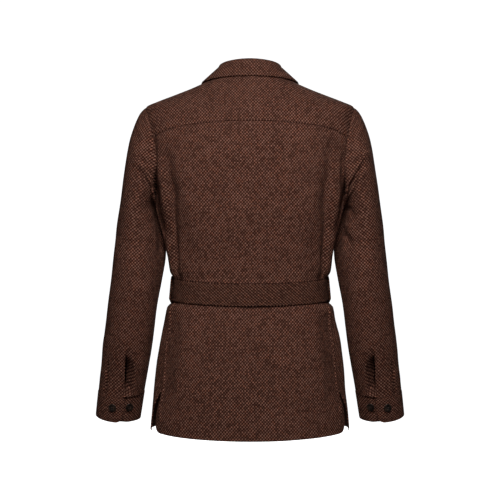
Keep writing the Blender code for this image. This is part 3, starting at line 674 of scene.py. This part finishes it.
def sleeve_seams():
    """Places of the sleeve's grid that are one: the inner line, and the slit above its start."""
    last = len(UNDER_ANGLES) + len(OVER_ANGLES) - 1
    edge = len(UNDER_ANGLES)
    rows = range(len(SLEEVE_RINGS))
    return [(r, 0, last) for r in rows] + [(r, edge - 1, edge) for r in rows if SLEEVE_RINGS[r] <= SLIT_RING]


def cuff():
    """Left cuff; its rows run down it and its columns run on in degrees from its lapped end."""
    half = CUFF_HEIGHT / 2 * np.sin(np.linspace(0, 1, 13) * math.pi / 2) ** 1.4
    steps = np.concatenate([CUFF_HEIGHT / 2 - half[::-1], CUFF_HEIGHT / 2 + half[1:]])
    columns = stretches(0, (60, 33), (300, 73), (360 + CUFF_UNDER, 33))
    step, column = np.meshgrid(steps, columns, indexing="ij")
    cut = corner_cut(CUFF_ROUND, np.minimum(step, CUFF_HEIGHT - step))
    cut = cut * np.where(step < CUFF_HEIGHT / 2, 0.3, 1.0)
    cut = np.degrees(cut / CUFF_RADIUS) * (1 - smooth(0, 70, column))
    angle = CUFF_LAP_ANGLE - column - cut
    ring = step / CUFF_HEIGHT + CUFF_RING
    lift = CUFF_LIFT - (DOUBLE_CLOTH + LAY_GAP) * smooth(285, 335, column)
    lift = lift - CUFF_SINK * smooth(342, 361, column)
    return sleeve_shape(ring, angle) + sleeve_normal(ring, angle) * lift[..., None]


def collar():
    """Stand, roll and fall in one folded strip; rows run from the neck seam to the outer edge."""
    half = stretches(0, (1.70, 61), (1.98, 17))
    turn = np.concatenate([-half[:0:-1], half])
    row = COLLAR.read(np.abs(turn))
    neck = np.full_like(turn, NECK)
    seam = torso(turn, neck)
    out = torso_out(turn, neck)
    edge_turn = np.sign(turn) * row["edge_turn"]
    edge = torso(edge_turn, row["edge_level"])
    edge = edge + torso_normal(edge_turn, row["edge_level"]) * (DOUBLE_CLOTH + 0.0015)
    foot = seam - out * DOUBLE_CLOTH / 2 + UP * LAY_GAP
    roll = foot + UP * (row["stand"] - COLLAR_ROLL)[:, None] + out * row["lean"][:, None]
    crown = roll + out * COLLAR_ROLL
    fall = crown + out * COLLAR_ROLL
    rows = []
    for share in np.linspace(0, 1, 9)[:-1]:
        rows.append(foot * (1 - share) + roll * share - out * 0.001 * math.sin(math.pi * share))
    for turned in np.linspace(math.pi, 0, 11)[:-1]:
        rows.append(crown + (out * math.cos(turned) + UP * math.sin(turned)) * COLLAR_ROLL)
    for share in np.linspace(0, 1, 20):
        bulge = out * 0.0005 * math.sin(math.pi * share)
        rows.append(fall * (1 - share) + edge * share + bulge)
    return np.array(rows)


def belt_middle(turn):
    along = np.cos(np.asarray(turn) * math.pi / 2)
    return WAIST - BELT_SAG * np.where(along > 0, along, 0.4 * along) ** 2


def turn_at_front(x):
    """Belt turn at this x near the centre front, counted on past the right front."""
    return -2 - np.arcsin(x / TORSO.read(WAIST)["half_width"]) * 2 / math.pi


def belt():
    """Strip from under the buckle bar round the left side and back to the front, ending in its tail."""
    start = 4 + turn_at_front(BUCKLE_HALF + 0.008)
    tail = np.concatenate([np.linspace(-0.030, 0.070, 30)[:-1],
                           BELT_TAIL - 0.042 * (1 - np.sin(np.linspace(0, 1, 16) * math.pi / 2))])
    turn = np.concatenate([np.linspace(start, -1.78, 240), turn_at_front(tail)])
    x = np.concatenate([np.full(240, -1.0), tail])
    over = smooth(-0.014, 0.014, x) * TAIL_RISE
    point = np.sqrt(np.clip((BELT_TAIL + 0.004 - x) / 0.040, 0, 1))
    half = BELT_HEIGHT / 2 * np.where(x > 0, np.maximum(point, 0.25), 1)
    middle = belt_middle(turn)
    top, low = (torso(turn, middle + side * BELT_HEIGHT / 2) for side in (1, -1))
    centre, up = (top + low) / 2, (top - low) / BELT_HEIGHT * half[:, None]
    flat = torso_out(turn, middle)
    lift = BELT_GAP + BELT_CLOTH + over + 0.5 * rippled(turn * TURN_SPAN, 0 * turn)
    return np.array([centre + up * s + flat * lift[:, None] for s in np.linspace(1, -1, 13)])


def belt_loop():
    """Left loop, sewn to the body above and below the belt; its front edge lies close to the belt."""
    columns = np.linspace(-0.5, 0.5, 9)
    turn = turn_by(LOOP_TURN, WAIST, columns * LOOP_WIDTH)
    flat = torso_out(LOOP_TURN, WAIST)
    reach = BELT_HEIGHT / 2
    high, low = reach + 0.0060, -reach - 0.0050
    top, foot = (torso(turn, np.full(9, WAIST + end)) for end in (high, low))
    rows = []
    for rise in np.linspace(high, low, 49):
        share = (rise - low) / (high - low)
        from_end = min(high - rise, rise - low)
        stand = np.interp(rise, [low, low + 0.008, high - 0.008, high], [0.0030, 0.0072, 0.0074, 0.0068])
        apart = foot + (top - foot) * share + flat * stand
        over = (BELT_GAP + BELT_CLOTH + 0.0003) * smooth(0.0020, 0.0065, from_end) + LOOP_CLOTH
        close = torso(turn, np.full(9, WAIST + rise)) + flat * over
        rows.append(apart + (close - apart) * smooth(-0.4, 0.5, columns)[:, None])
    return np.array(rows)


def arc(points, axis, start):
    """Distance along one axis of a grid, counted from its row or column start."""
    steps = np.linalg.norm(np.diff(points, axis=axis), axis=-1)
    total = np.insert(np.cumsum(steps, axis=axis), 0, 0, axis=axis)
    return total - np.take(total, [start], axis=axis)


def body_weave(turn, level, start):
    """Weave of a body panel: the distance round its ring of cloth from one turn, and its height."""
    steps = np.linspace(0, 1, 15)[:, None, None]
    ring = torso(start + (turn - start) * steps, level + 0 * steps)
    around = np.linalg.norm(np.diff(ring[..., :2], axis=0), axis=-1).sum(0)
    return np.stack([around * np.sign(turn - start), ring[-1, ..., 2]], -1)


def weave_of(points, row, column):
    """Metric weave coordinates, straight along one row and one column of the grid."""
    return np.stack([arc(points, 1, column), arc(points, 0, row)], -1)


def yoke_weave(points):
    """Weave of the yoke, cut in one with its threads level across the back and over the shoulder."""
    ridge = TORSO.rows[TORSO.rows[:, 0] >= ARMHOLE_TOP]
    top = np.interp(np.abs(points[..., 0]), ridge[::-1, 3], ridge[::-1, 0])
    y, z = points[..., 1] - ARMHOLE_Y, points[..., 2]
    behind = -0.3 * y + 0.95 * z
    ahead = -0.6 * y + 0.95 * top + 0.8 * (top - z)
    return np.stack([points[..., 0] * 1.02, np.where(y > 0, behind, ahead)], -1)


def shell(name, points, weave, thickness, facing, material, same=(), split=None):
    """Closed cloth of even thickness under a grid of outer points, with round edges.

    facing is roughly the outward direction at the middle of the grid, same lists places
    (row, column, other column) that are one point, and after column split the cloth is cut.
    """
    rows, columns = points.shape[:2]
    spot = np.arange(rows * columns).reshape(rows, columns)
    corner = np.stack([spot[:-1, :-1], spot[1:, :-1], spot[1:, 1:], spot[:-1, 1:]], -1)
    if split is not None:
        corner = np.delete(corner, split, axis=1)
    corner = corner.reshape(-1, 4)
    weave = weave.reshape(-1, 2)
    one = spot.copy()
    for row, column, other in same:
        one[row, other] = one[row, column]
    one = one.ravel()
    flat = points.reshape(-1, 3)
    normal = np.zeros_like(flat)
    quad = flat[corner]
    face = np.cross(quad[:, 2] - quad[:, 0], quad[:, 3] - quad[:, 1])
    for k in range(4):
        np.add.at(normal, one[corner[:, k]], face)
    normal = unit(normal)
    if normal[one[spot[rows // 2, columns // 2]]] @ np.array(facing, float) < 0:
        corner, normal = corner[:, ::-1], -normal

    # Border edges run once only; out points from the cloth across each of them
    start, end = corner.ravel(), np.roll(corner, -1, axis=1).ravel()
    key, back = one[start] * rows * columns + one[end], one[end] * rows * columns + one[start]
    border = ~np.isin(key, back)
    start, end = start[border], end[border]
    across = np.cross(unit(flat[one[end]] - flat[one[start]]), normal[one[start]])
    out = np.zeros_like(flat)
    np.add.at(out, one[start], across)
    np.add.at(out, one[end], across)
    out = np.where(np.linalg.norm(out, axis=-1, keepdims=True) > 0.3, unit(out), 0)
    edge = np.unique(one[start])
    outer = flat.copy()
    outer[edge] -= out[edge] * (thickness / 2 - SEAM_LAP / 2)
    inner = outer - normal * thickness
    number = np.full(rows * columns, -1)
    number[edge] = np.arange(len(edge))
    turns = np.radians([45, 90, 135])
    middle = outer[edge] - normal[edge] * thickness / 2
    rim = [middle + (normal[edge] * math.cos(t) + out[edge] * math.sin(t)) * thickness / 2 for t in turns]

    # One list of vertices: outer face, inner face, then the three rim lines
    used, first = np.unique(one, return_inverse=True)
    count = len(used)
    vertices = np.concatenate([outer[used], inner[used]] + rim)
    base = 2 * count
    lines = [first] + [base + k * len(edge) + number[one] for k in range(3)] + [count + first]
    faces = [first[corner], count + first[corner][:, ::-1]]
    weaves = [weave[corner], weave[corner[:, ::-1]]]

    # The baked picture has the outer face at its top, the inner face below and four rim strips at its foot
    wide, high = arc(points, 1, 0).mean(0), arc(points, 0, 0).mean(1)
    bake = np.stack(np.meshgrid(wide / wide[-1], high / high[-1]), -1).reshape(-1, 2)
    bakes = [bake[corner] * (0.99, 0.58) + (0.005, 0.415)]
    bakes.append(bake[corner[:, ::-1]] * (0.99, 0.33) + (0.005, 0.07))
    near = np.arange(len(start)) / len(start)
    far = near + 0.8 / len(start)
    for k in range(4):
        faces.append(np.stack([lines[k][end], lines[k][start], lines[k + 1][start], lines[k + 1][end]], -1))
        weaves.append(weave[np.stack([end, start, start, end], -1)])
        ends = np.stack([far, near, near, far], -1)
        levels = np.array([k, k, k + 0.9, k + 0.9]) * 0.012 + 0.005 + 0 * ends
        bakes.append(np.stack([ends * 0.99 + 0.005, levels], -1))
    made = mesh_object(name, vertices, np.concatenate(faces), material)
    for title, values in (("Weave", weaves), ("OFBake", bakes)):
        layer = made.data.uv_layers.new(name=title)
        layer.data.foreach_set("uv", np.concatenate(values).astype(np.float32).ravel())
    return made


def linked(name, data):
    made = bpy.data.objects.new(name, data)
    bpy.context.scene.collection.objects.link(made)
    return made


def plain_object(name, vertices, faces):
    mesh = bpy.data.meshes.new(name)
    mesh.from_pydata(np.asarray(vertices).tolist(), [], [list(map(int, face)) for face in faces])
    return linked(name, mesh)


def mesh_object(name, vertices, faces, material):
    """Smooth piece of the jacket in one material."""
    made = plain_object(name, vertices, faces)
    made.data.shade_smooth()
    made.data.materials.append(material)
    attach(made, "root")
    return made


def ring_faces(count, sides, closed=False):
    """Faces between rings of points that follow one another, with flat ends unless they close."""
    faces = []
    for r in range(count if closed else count - 1):
        n = (r + 1) % count
        for k in range(sides):
            m = (k + 1) % sides
            faces.append([r * sides + k, r * sides + m, n * sides + m, n * sides + k])
    if not closed:
        faces.append(list(range(sides))[::-1])
        faces.append([(count - 1) * sides + k for k in range(sides)])
    return faces


def circle(side, lift, count):
    """Points of a round whose first and second directions are side and lift."""
    turned = np.linspace(0, 2 * math.pi, count, endpoint=False)[:, None]
    return np.asarray(side) * np.cos(turned) + np.asarray(lift) * np.sin(turned)


def turned_form(profile, steps):
    """Vertices and faces of a round form from its profile of radius and height."""
    around = circle((1, 0, 0), (0, 1, 0), steps)
    vertices = np.concatenate([around * radius + UP * height for radius, height in profile])
    return vertices, ring_faces(len(profile), steps)


def tubes(paths, side, lift, radius, sides):
    """Vertices and faces of round tubes along paths; side and lift span their cross-section."""
    vertices, faces = [], []
    ring = circle(side, lift, sides) * radius
    for path in paths:
        base = sum(len(known) for known in vertices)
        faces += [[base + v for v in face] for face in ring_faces(len(path), sides)]
        vertices.append((np.asarray(path)[:, None] + ring).reshape(-1, 3))
    return np.concatenate(vertices), faces


def linear(red, green, blue):
    """Scene colour of a screen colour given from 0 to 255."""
    value = np.array([red, green, blue]) / 255
    value = np.where(value <= 0.04045, value / 12.92, ((value + 0.055) / 1.055) ** 2.4)
    return (*(float(v) for v in value), 1.0)


class Nodes:
    """A new material and short ways to add its nodes."""

    def __init__(self, name, **settings):
        self.material = bpy.data.materials.new(name)
        self.material.use_nodes = True
        self.tree = self.material.node_tree
        self.shader = self.tree.nodes["Principled BSDF"]
        self.set(self.shader, settings)

    def set(self, node, values):
        for socket, value in values.items():
            if isinstance(value, bpy.types.NodeSocket):
                self.tree.links.new(value, node.inputs[socket])
            else:
                node.inputs[socket].default_value = value

    def add(self, kind, values, out=0, **settings):
        node = self.tree.nodes.new("ShaderNode" + kind)
        for name, value in settings.items():
            setattr(node, name, value)
        self.set(node, values)
        return node.outputs[out]

    def vector(self, operation, first, second=(0, 0, 0), out="Vector"):
        return self.add("VectorMath", {0: first, 1: second}, out, operation=operation)

    def math(self, operation, first, second=0.0):
        return self.add("Math", {0: first, 1: second}, operation=operation)

    def ramp(self, value, low, high, at_low, at_high):
        values = {"Value": value, "From Min": low, "From Max": high, "To Min": at_low, "To Max": at_high}
        return self.add("MapRange", values, interpolation_type="SMOOTHSTEP")

    def mix(self, share, first, second, blend="MIX"):
        return self.add("MixRGB", {"Fac": share, "Color1": first, "Color2": second}, blend_type=blend)

    def colours(self, value, *stops):
        out = self.add("ValToRGB", {"Fac": value})
        elements = out.node.color_ramp.elements
        while len(elements) < len(stops):
            elements.new(0.5)
        for element, (place, colour) in zip(elements, stops):
            element.position = place
            element.color = colour
        return out

    def finish(self, colour, height, depth, strength):
        bump = {"Height": height, "Distance": depth, "Strength": strength}
        self.set(self.shader, {"Base Color": colour, "Normal": self.add("Bump", bump)})
        return self.material


def tweed(name, ground, grains, slant):
    """Barleycorn tweed: light grains in a diamond lattice on a dark ground, woven of thick yarns."""
    n = Nodes(name, Roughness=0.92)
    n.set(n.shader, {"Specular IOR Level": 0.06, "Sheen Weight": 0.015, "Sheen Roughness": 0.5,
                     "Sheen Tint": linear(190, 150, 130)})
    uv = n.add("UVMap", {}, uv_map="Weave")
    wander = n.add("TexNoise", {"Vector": uv, "Scale": 170.0, "Detail": 3.0}, 1, noise_dimensions="2D")
    wander = n.vector("MULTIPLY", n.vector("SUBTRACT", wander, (0.5, 0.5, 0.5)), (0.0018, 0.0018, 0))
    yarn = n.vector("MULTIPLY", n.vector("ADD", uv, wander), (YARNS / GRAIN_WIDE, YARNS / GRAIN_HIGH, 0))
    number = n.vector("FLOOR", yarn)
    within = n.vector("SUBTRACT", n.vector("SUBTRACT", yarn, number), (0.5, 0.5, 0))

    # Grains are told yarn by yarn, from the place of each crossing in the lattice
    crossing = n.vector("MULTIPLY", n.vector("ADD", number, (0.5, 0.5, 0)), (1 / YARNS, 1 / YARNS, 0))
    rising = n.vector("DOT_PRODUCT", crossing, (1, 1, 0), "Value")
    falling = n.vector("DOT_PRODUCT", crossing, (1, -1, 0), "Value")
    lattice = n.add("CombineXYZ", {"X": rising, "Y": falling})
    centre = n.vector("FLOOR", n.vector("ADD", lattice, (0.5, 0.5, 0)))
    away = n.vector("MULTIPLY", n.vector("SUBTRACT", lattice, centre), slant)
    light = n.ramp(n.vector("LENGTH", away, out="Value"), 0.12, 0.50, 1.0, 0.0)
    chance = n.add("TexWhiteNoise", {"Vector": centre}, "Value", noise_dimensions="2D")
    uneven = n.add("TexWhiteNoise", {"Vector": number}, "Value", noise_dimensions="2D")

    # Warp and weft lie uppermost by turns
    x, y = (n.add("SeparateXYZ", {"Vector": within}, axis) for axis in ("X", "Y"))
    over = n.vector("DOT_PRODUCT", number, (0.5, 0.5, 0), "Value")
    over = n.math("MULTIPLY", n.math("FRACT", over), 2.0)
    warp = n.math("COSINE", n.math("MULTIPLY", x, math.pi))
    weft = n.math("COSINE", n.math("MULTIPLY", y, math.pi))
    round_yarn = n.math("ADD", n.math("MULTIPLY", warp, over),
                        n.math("MULTIPLY", weft, n.math("SUBTRACT", 1.0, over)))

    fibre = n.add("TexNoise", {"Vector": uv, "Scale": 1700.0, "Detail": 3.0}, noise_dimensions="2D")
    cloud = n.add("TexNoise", {"Vector": uv, "Scale": 22.0, "Detail": 4.0}, noise_dimensions="2D")
    lit = n.math("MULTIPLY", light, n.ramp(chance, 0.0, 1.0, 0.60, 1.06))
    lit = n.math("MULTIPLY", lit, n.ramp(uneven, 0.0, 1.0, 0.70, 1.05))
    tint = n.colours(chance, (0.0, grains[0]), (0.45, grains[1]), (1.0, grains[2]))
    colour = n.mix(lit, ground, tint)
    # Painted shade between the yarns: each yarn darkens where it dips under the next, and the fibre and cloud
    # noise add the cloth's own uneven tone
    yarn_shade_and_tone = n.math("MULTIPLY", n.ramp(fibre, 0.25, 0.75, 0.74, 1.26), n.ramp(round_yarn, 0.0, 0.8, 0.62, 1.12))
    yarn_shade_and_tone = n.math("MULTIPLY", yarn_shade_and_tone, n.ramp(cloud, 0.3, 0.7, 0.96, 1.04))
    colour = n.mix(1.0, colour, yarn_shade_and_tone, "MULTIPLY")
    height = n.math("ADD", round_yarn, n.math("MULTIPLY", fibre, 0.6))
    return n.finish(colour, height, 0.0004, 0.6)


def horn():
    """Polished dark horn with paler streaks."""
    n = Nodes("horn", Roughness=0.36)
    place = n.vector("MULTIPLY", n.add("TexCoord", {}, "Object"), (420, 420, 90))
    streak = n.add("TexNoise", {"Vector": place, "Scale": 1.0, "Detail": 5.0, "Distortion": 1.2})
    colour = n.colours(streak, (0.40, linear(13, 10, 9)), (0.56, linear(34, 24, 19)),
                       (0.72, linear(104, 80, 62)))
    fine = n.add("TexNoise", {"Vector": place, "Scale": 4.0, "Detail": 3.0})
    n.set(n.shader, {"Specular IOR Level": 0.25, "Coat Weight": 0.05, "Coat Roughness": 0.2})
    return n.finish(colour, fine, 0.0002, 0.15)


def thread(name, colour):
    """Twisted sewing thread."""
    n = Nodes(name, Roughness=0.75)
    place = n.add("TexCoord", {}, "Object")
    wave = {"Vector": place, "Scale": 420.0, "Distortion": 2.0}
    twist = n.add("TexWave", wave, 1, bands_direction="DIAGONAL")
    shade = n.ramp(twist, 0.0, 1.0, 0.7, 1.15)
    n.set(n.shader, {"Sheen Weight": 0.2, "Sheen Roughness": 0.4})
    return n.finish(n.mix(1.0, colour, shade, "MULTIPLY"), twist, 0.0003, 0.4)


def leather():
    """Fine-grained dark brown leather."""
    n = Nodes("buckle_leather", Roughness=0.5)
    place = n.add("TexCoord", {}, "Object")
    pores = n.add("TexVoronoi", {"Vector": place, "Scale": 900.0}, "Distance")
    tone = n.add("TexNoise", {"Vector": place, "Scale": 120.0, "Detail": 4.0})
    colour = n.colours(tone, (0.3, linear(44, 28, 21)), (0.7, linear(70, 46, 34)))
    return n.finish(colour, pores, 0.0003, 0.35)


# Button of radius 1: radius and height round its edge from back to front, and the places of its holes
BUTTON_PROFILE = ((0.70, 0.0), (0.86, 0.02), (0.95, 0.07), (1.0, 0.16), (0.985, 0.24), (0.94, 0.30),
                  (0.87, 0.33), (0.80, 0.33), (0.73, 0.30), (0.66, 0.265), (0.55, 0.25))
BUTTON_HOLES = (-0.19, 0.19)
BUTTON_BORE = 0.10


def button_template():
    """Vertices and faces of a four-hole button of radius 1, its back on the XY plane."""
    paths = [[(x, y, -0.2), (x, y, 0.6)] for x in BUTTON_HOLES for y in BUTTON_HOLES]
    disc = plain_object("button_disc", *turned_form(BUTTON_PROFILE, 48))
    bores = plain_object("button_bores", *tubes(paths, (1, 0, 0), (0, 1, 0), BUTTON_BORE, 14))
    cut = disc.modifiers.new("holes", "BOOLEAN")
    cut.operation = "DIFFERENCE"
    cut.solver = "EXACT"
    cut.object = bores
    bpy.context.view_layer.update()
    mesh = bpy.data.meshes.new_from_object(disc.evaluated_get(bpy.context.evaluated_depsgraph_get()))
    vertices = np.array([v.co for v in mesh.vertices])
    faces = [list(p.vertices) for p in mesh.polygons]
    for made in (disc, bores):
        bpy.data.objects.remove(made)
    return vertices, faces


def button_threads():
    """Two bars of three strands between the holes of a button of radius 1."""
    y = np.array([-1.0, -0.85, 0.0, 0.85, 1.0]) * BUTTON_HOLES[1]
    height = np.array([0.08, 0.27, 0.31, 0.27, 0.08])
    strands = ((-0.05, 0), (0.0, 0.015), (0.05, 0))
    paths = [np.stack([x + off + 0 * y, y, height + rise], -1) for x in BUTTON_HOLES for off, rise in strands]
    return tubes(paths, (1, 0, 0), (0, 0.3, 0.95), 0.034, 6)


def button(node, radius, centre, axis, looks):
    """Button in place of its node, its back on centre and its face along axis, sewn on with thread."""
    axis = unit(axis)
    side = unit(np.cross(axis, UP))
    top = np.cross(side, axis)
    turn = np.stack([-side, top, axis]) * radius
    for part, (vertices, faces) in looks["button"].items():
        made = mesh_object(f"{node}_{part}", vertices @ turn + centre, faces, looks[part])
        if part == "horn":
            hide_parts(node)


def buckle(material):
    """Rounded frame; its heel bar lies beside the belt's end and its other bar over the belt."""
    count, sides, power = 96, 8, 0.35
    middle = belt_middle(2.0)
    half = BELT_HEIGHT / 2 + BUCKLE_ROOM + BUCKLE_BAR / 2
    reach = half + BUCKLE_BAR / 2
    face = -torso(2.0, middle + np.linspace(-reach, reach, 9))[:, 1].min()
    turned = 2 * math.pi * (np.arange(count) + 0.5) / count
    x, z = (size * np.sign(f) * np.abs(f) ** power
            for size, f in ((BUCKLE_HALF, np.cos(turned)), (half, np.sin(turned))))
    lift = LAY_GAP + BUCKLE_DEPTH / 2 + BUCKLE_TILT * smooth(BUCKLE_HALF, -BUCKLE_HALF, x)
    path = np.stack([x, -(face + lift), middle + z], -1)
    ahead = unit(np.roll(path, -1, axis=0) - np.roll(path, 1, axis=0))
    facing = np.array([0, -1.0, 0])
    facing = unit(facing - ahead * (ahead @ facing)[:, None])
    side = np.cross(ahead, facing) * BUCKLE_BAR / 2
    bar = [circle(a, b, sides) for a, b in zip(side, facing * BUCKLE_DEPTH / 2)]
    vertices = (path[:, None] + np.array(bar)).reshape(-1, 3)
    made = mesh_object("belt_buckle_frame", vertices, ring_faces(count, sides, closed=True), material)
    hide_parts("belt_buckle")


def cloth(node, points, weave, thickness, facing, material, held, rests_on, slot="tweed", also=(), **cut):
    """Cloth shell in place of its node, and of those in also."""
    made = shell(node + "_cloth", points, weave, thickness, facing, material, **cut)
    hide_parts(node, *also)


def jacket():
    grains = (linear(138, 97, 82), linear(176, 127, 109), linear(150, 98, 79))
    dark_grains = (linear(122, 84, 69), linear(149, 106, 89), linear(128, 83, 65))
    looks = {
        "tweed": tweed("tweed", linear(44, 20, 13), grains, (1.04, 0.96, 0)),
        "belt_tweed": tweed("belt_tweed", linear(36, 17, 11), dark_grains, (0.85, 1.15, 0)),
        "horn": horn(),
        "thread": thread("thread", linear(62, 42, 34)),
        "button": {"horn": button_template(), "thread": button_threads()},
    }
    wool = looks["tweed"]

    cloth("back_panel", *back_panel(), CLOTH, (0, 1, 0), wool, "hung", ["back_yoke"])
    points = back_yoke()
    cloth("back_yoke", points, yoke_weave(points), CLOTH, (0, 0.5, 0.8), wool, "draped", ["collar"])
    for side, name in SIDES:
        cloth("front_" + name, *front_panel(side), CLOTH, (0, -1, 0), wool, "hung", ["back_yoke"])
    points = collar()
    weave = weave_of(points, points.shape[0] - 1, points.shape[1] // 2)
    cloth("collar", points, weave, DOUBLE_CLOTH, (0, 0, 1), wool, "folded", ["back_yoke"])
    for side, name in SIDES:
        flip = np.array([side, 1, 1])
        cloth("sleeve_" + name, sleeve(side) * flip, sleeve_weave(), CLOTH, (side, 0, 0.3), wool, "hung",
              ["back_yoke", "front_" + name], also=["sleeve_under_" + name], same=sleeve_seams(),
              split=len(UNDER_ANGLES) - 1)
        points = cuff() * flip
        weave = weave_of(points, 12, 60)[..., ::-1]
        cloth("cuff_" + name, points, weave, DOUBLE_CLOTH, (0, -1, 0), wool, "folded", ["sleeve_" + name])
        points = belt_loop() * flip
        cloth("belt_loop_" + name, points, weave_of(points, 20, 4), LOOP_CLOTH, (side, 0, 0),
              looks["belt_tweed"], "folded", ["back_panel"], slot="belt_tweed")
        for number, angle in enumerate(CUFF_BUTTON_ANGLES):
            place = np.array(CUFF_BUTTON_RING), np.array(float(angle))
            axis = sleeve_normal(*place)
            lift = CUFF_LIFT + LAY_GAP - (DOUBLE_CLOTH + LAY_GAP) * number
            spot = sleeve_shape(*place) + axis * lift
            button(f"cuff_button_{name}_{number + 1}", CUFF_BUTTON, spot * flip, axis * flip, looks)
    points = belt()
    weave = weave_of(points, 6, 120)[..., ::-1]
    cloth("belt", points, weave, BELT_CLOTH, (0, 1, 0), looks["belt_tweed"], "folded",
          ["belt_loop_left", "belt_loop_right"], slot="belt_tweed")
    buckle(leather())
    for number, level in enumerate(BUTTON_LEVELS):
        axis = torso_normal(2.0, level)
        spot = torso(2.0, level) + axis * LAY_GAP * 2
        button(f"front_button_{number + 1}", FRONT_BUTTON, spot, axis, looks)


# Radius and height of the white room from its floor up
ROOM_RINGS = ((7.0, -1.05), (7.6, -0.89), (8.0, -0.45), (8.0, 5.0), (6.0, 8.0))

# Soft lights: name, place, aim, size and power
SOFTBOXES = (
    ("key", (0, 1.6, 0.9), (0, 0.1, -0.25), (0.9, 0.9), 18),
    ("low_key", (0, 1.3, 0.2), (0, 0.1, -0.38), (0.6, 0.6), 7),
    ("front_fill", (-0.4, -3.0, 0.8), (0, 0, -0.34), (2.2, 2.0), 50),
)


def softbox(name, place, aim, size, power):
    light = bpy.data.lights.new(name, "AREA")
    light.shape = "RECTANGLE"
    light.size, light.size_y = size
    light.energy = power
    look(linked(name, light), place, aim)


def look(made, place, aim):
    made.location = place
    made.rotation_mode = "QUATERNION"
    made.rotation_quaternion = (Vector(aim) - Vector(place)).to_track_quat("-Z", "Y")


def studio():
    """White room, soft lights behind and before the jacket, and the photograph's camera."""
    scene = bpy.context.scene
    scene.view_settings.view_transform = "Standard"
    world = bpy.data.worlds.new("studio")
    world.use_nodes = True
    background = world.node_tree.nodes["Background"].inputs
    background["Color"].default_value = (1, 1, 1, 1)
    background["Strength"].default_value = 0.07
    scene.world = world

    white = Nodes("studio_white")
    white.set(white.shader, {"Base Color": (0.9, 0.9, 0.9, 1), "Emission Color": (1, 1, 1, 1),
                             "Emission Strength": 1.0})
    room = plain_object("studio_room", *turned_form(ROOM_RINGS, 64))
    room.data.materials.append(white.material)
    for ray in ("diffuse", "glossy", "transmission", "shadow"):
        setattr(room, "visible_" + ray, False)

    for row in SOFTBOXES:
        softbox(*row)

    camera = bpy.data.cameras.new("camera")
    camera.lens = CAMERA_LENS
    camera.sensor_width = 36
    scene.camera = linked("camera", camera)
    look(scene.camera, (0, CAMERA_DISTANCE, CAMERA_HEIGHT), (0, 0, CAMERA_HEIGHT))


jacket()
studio()
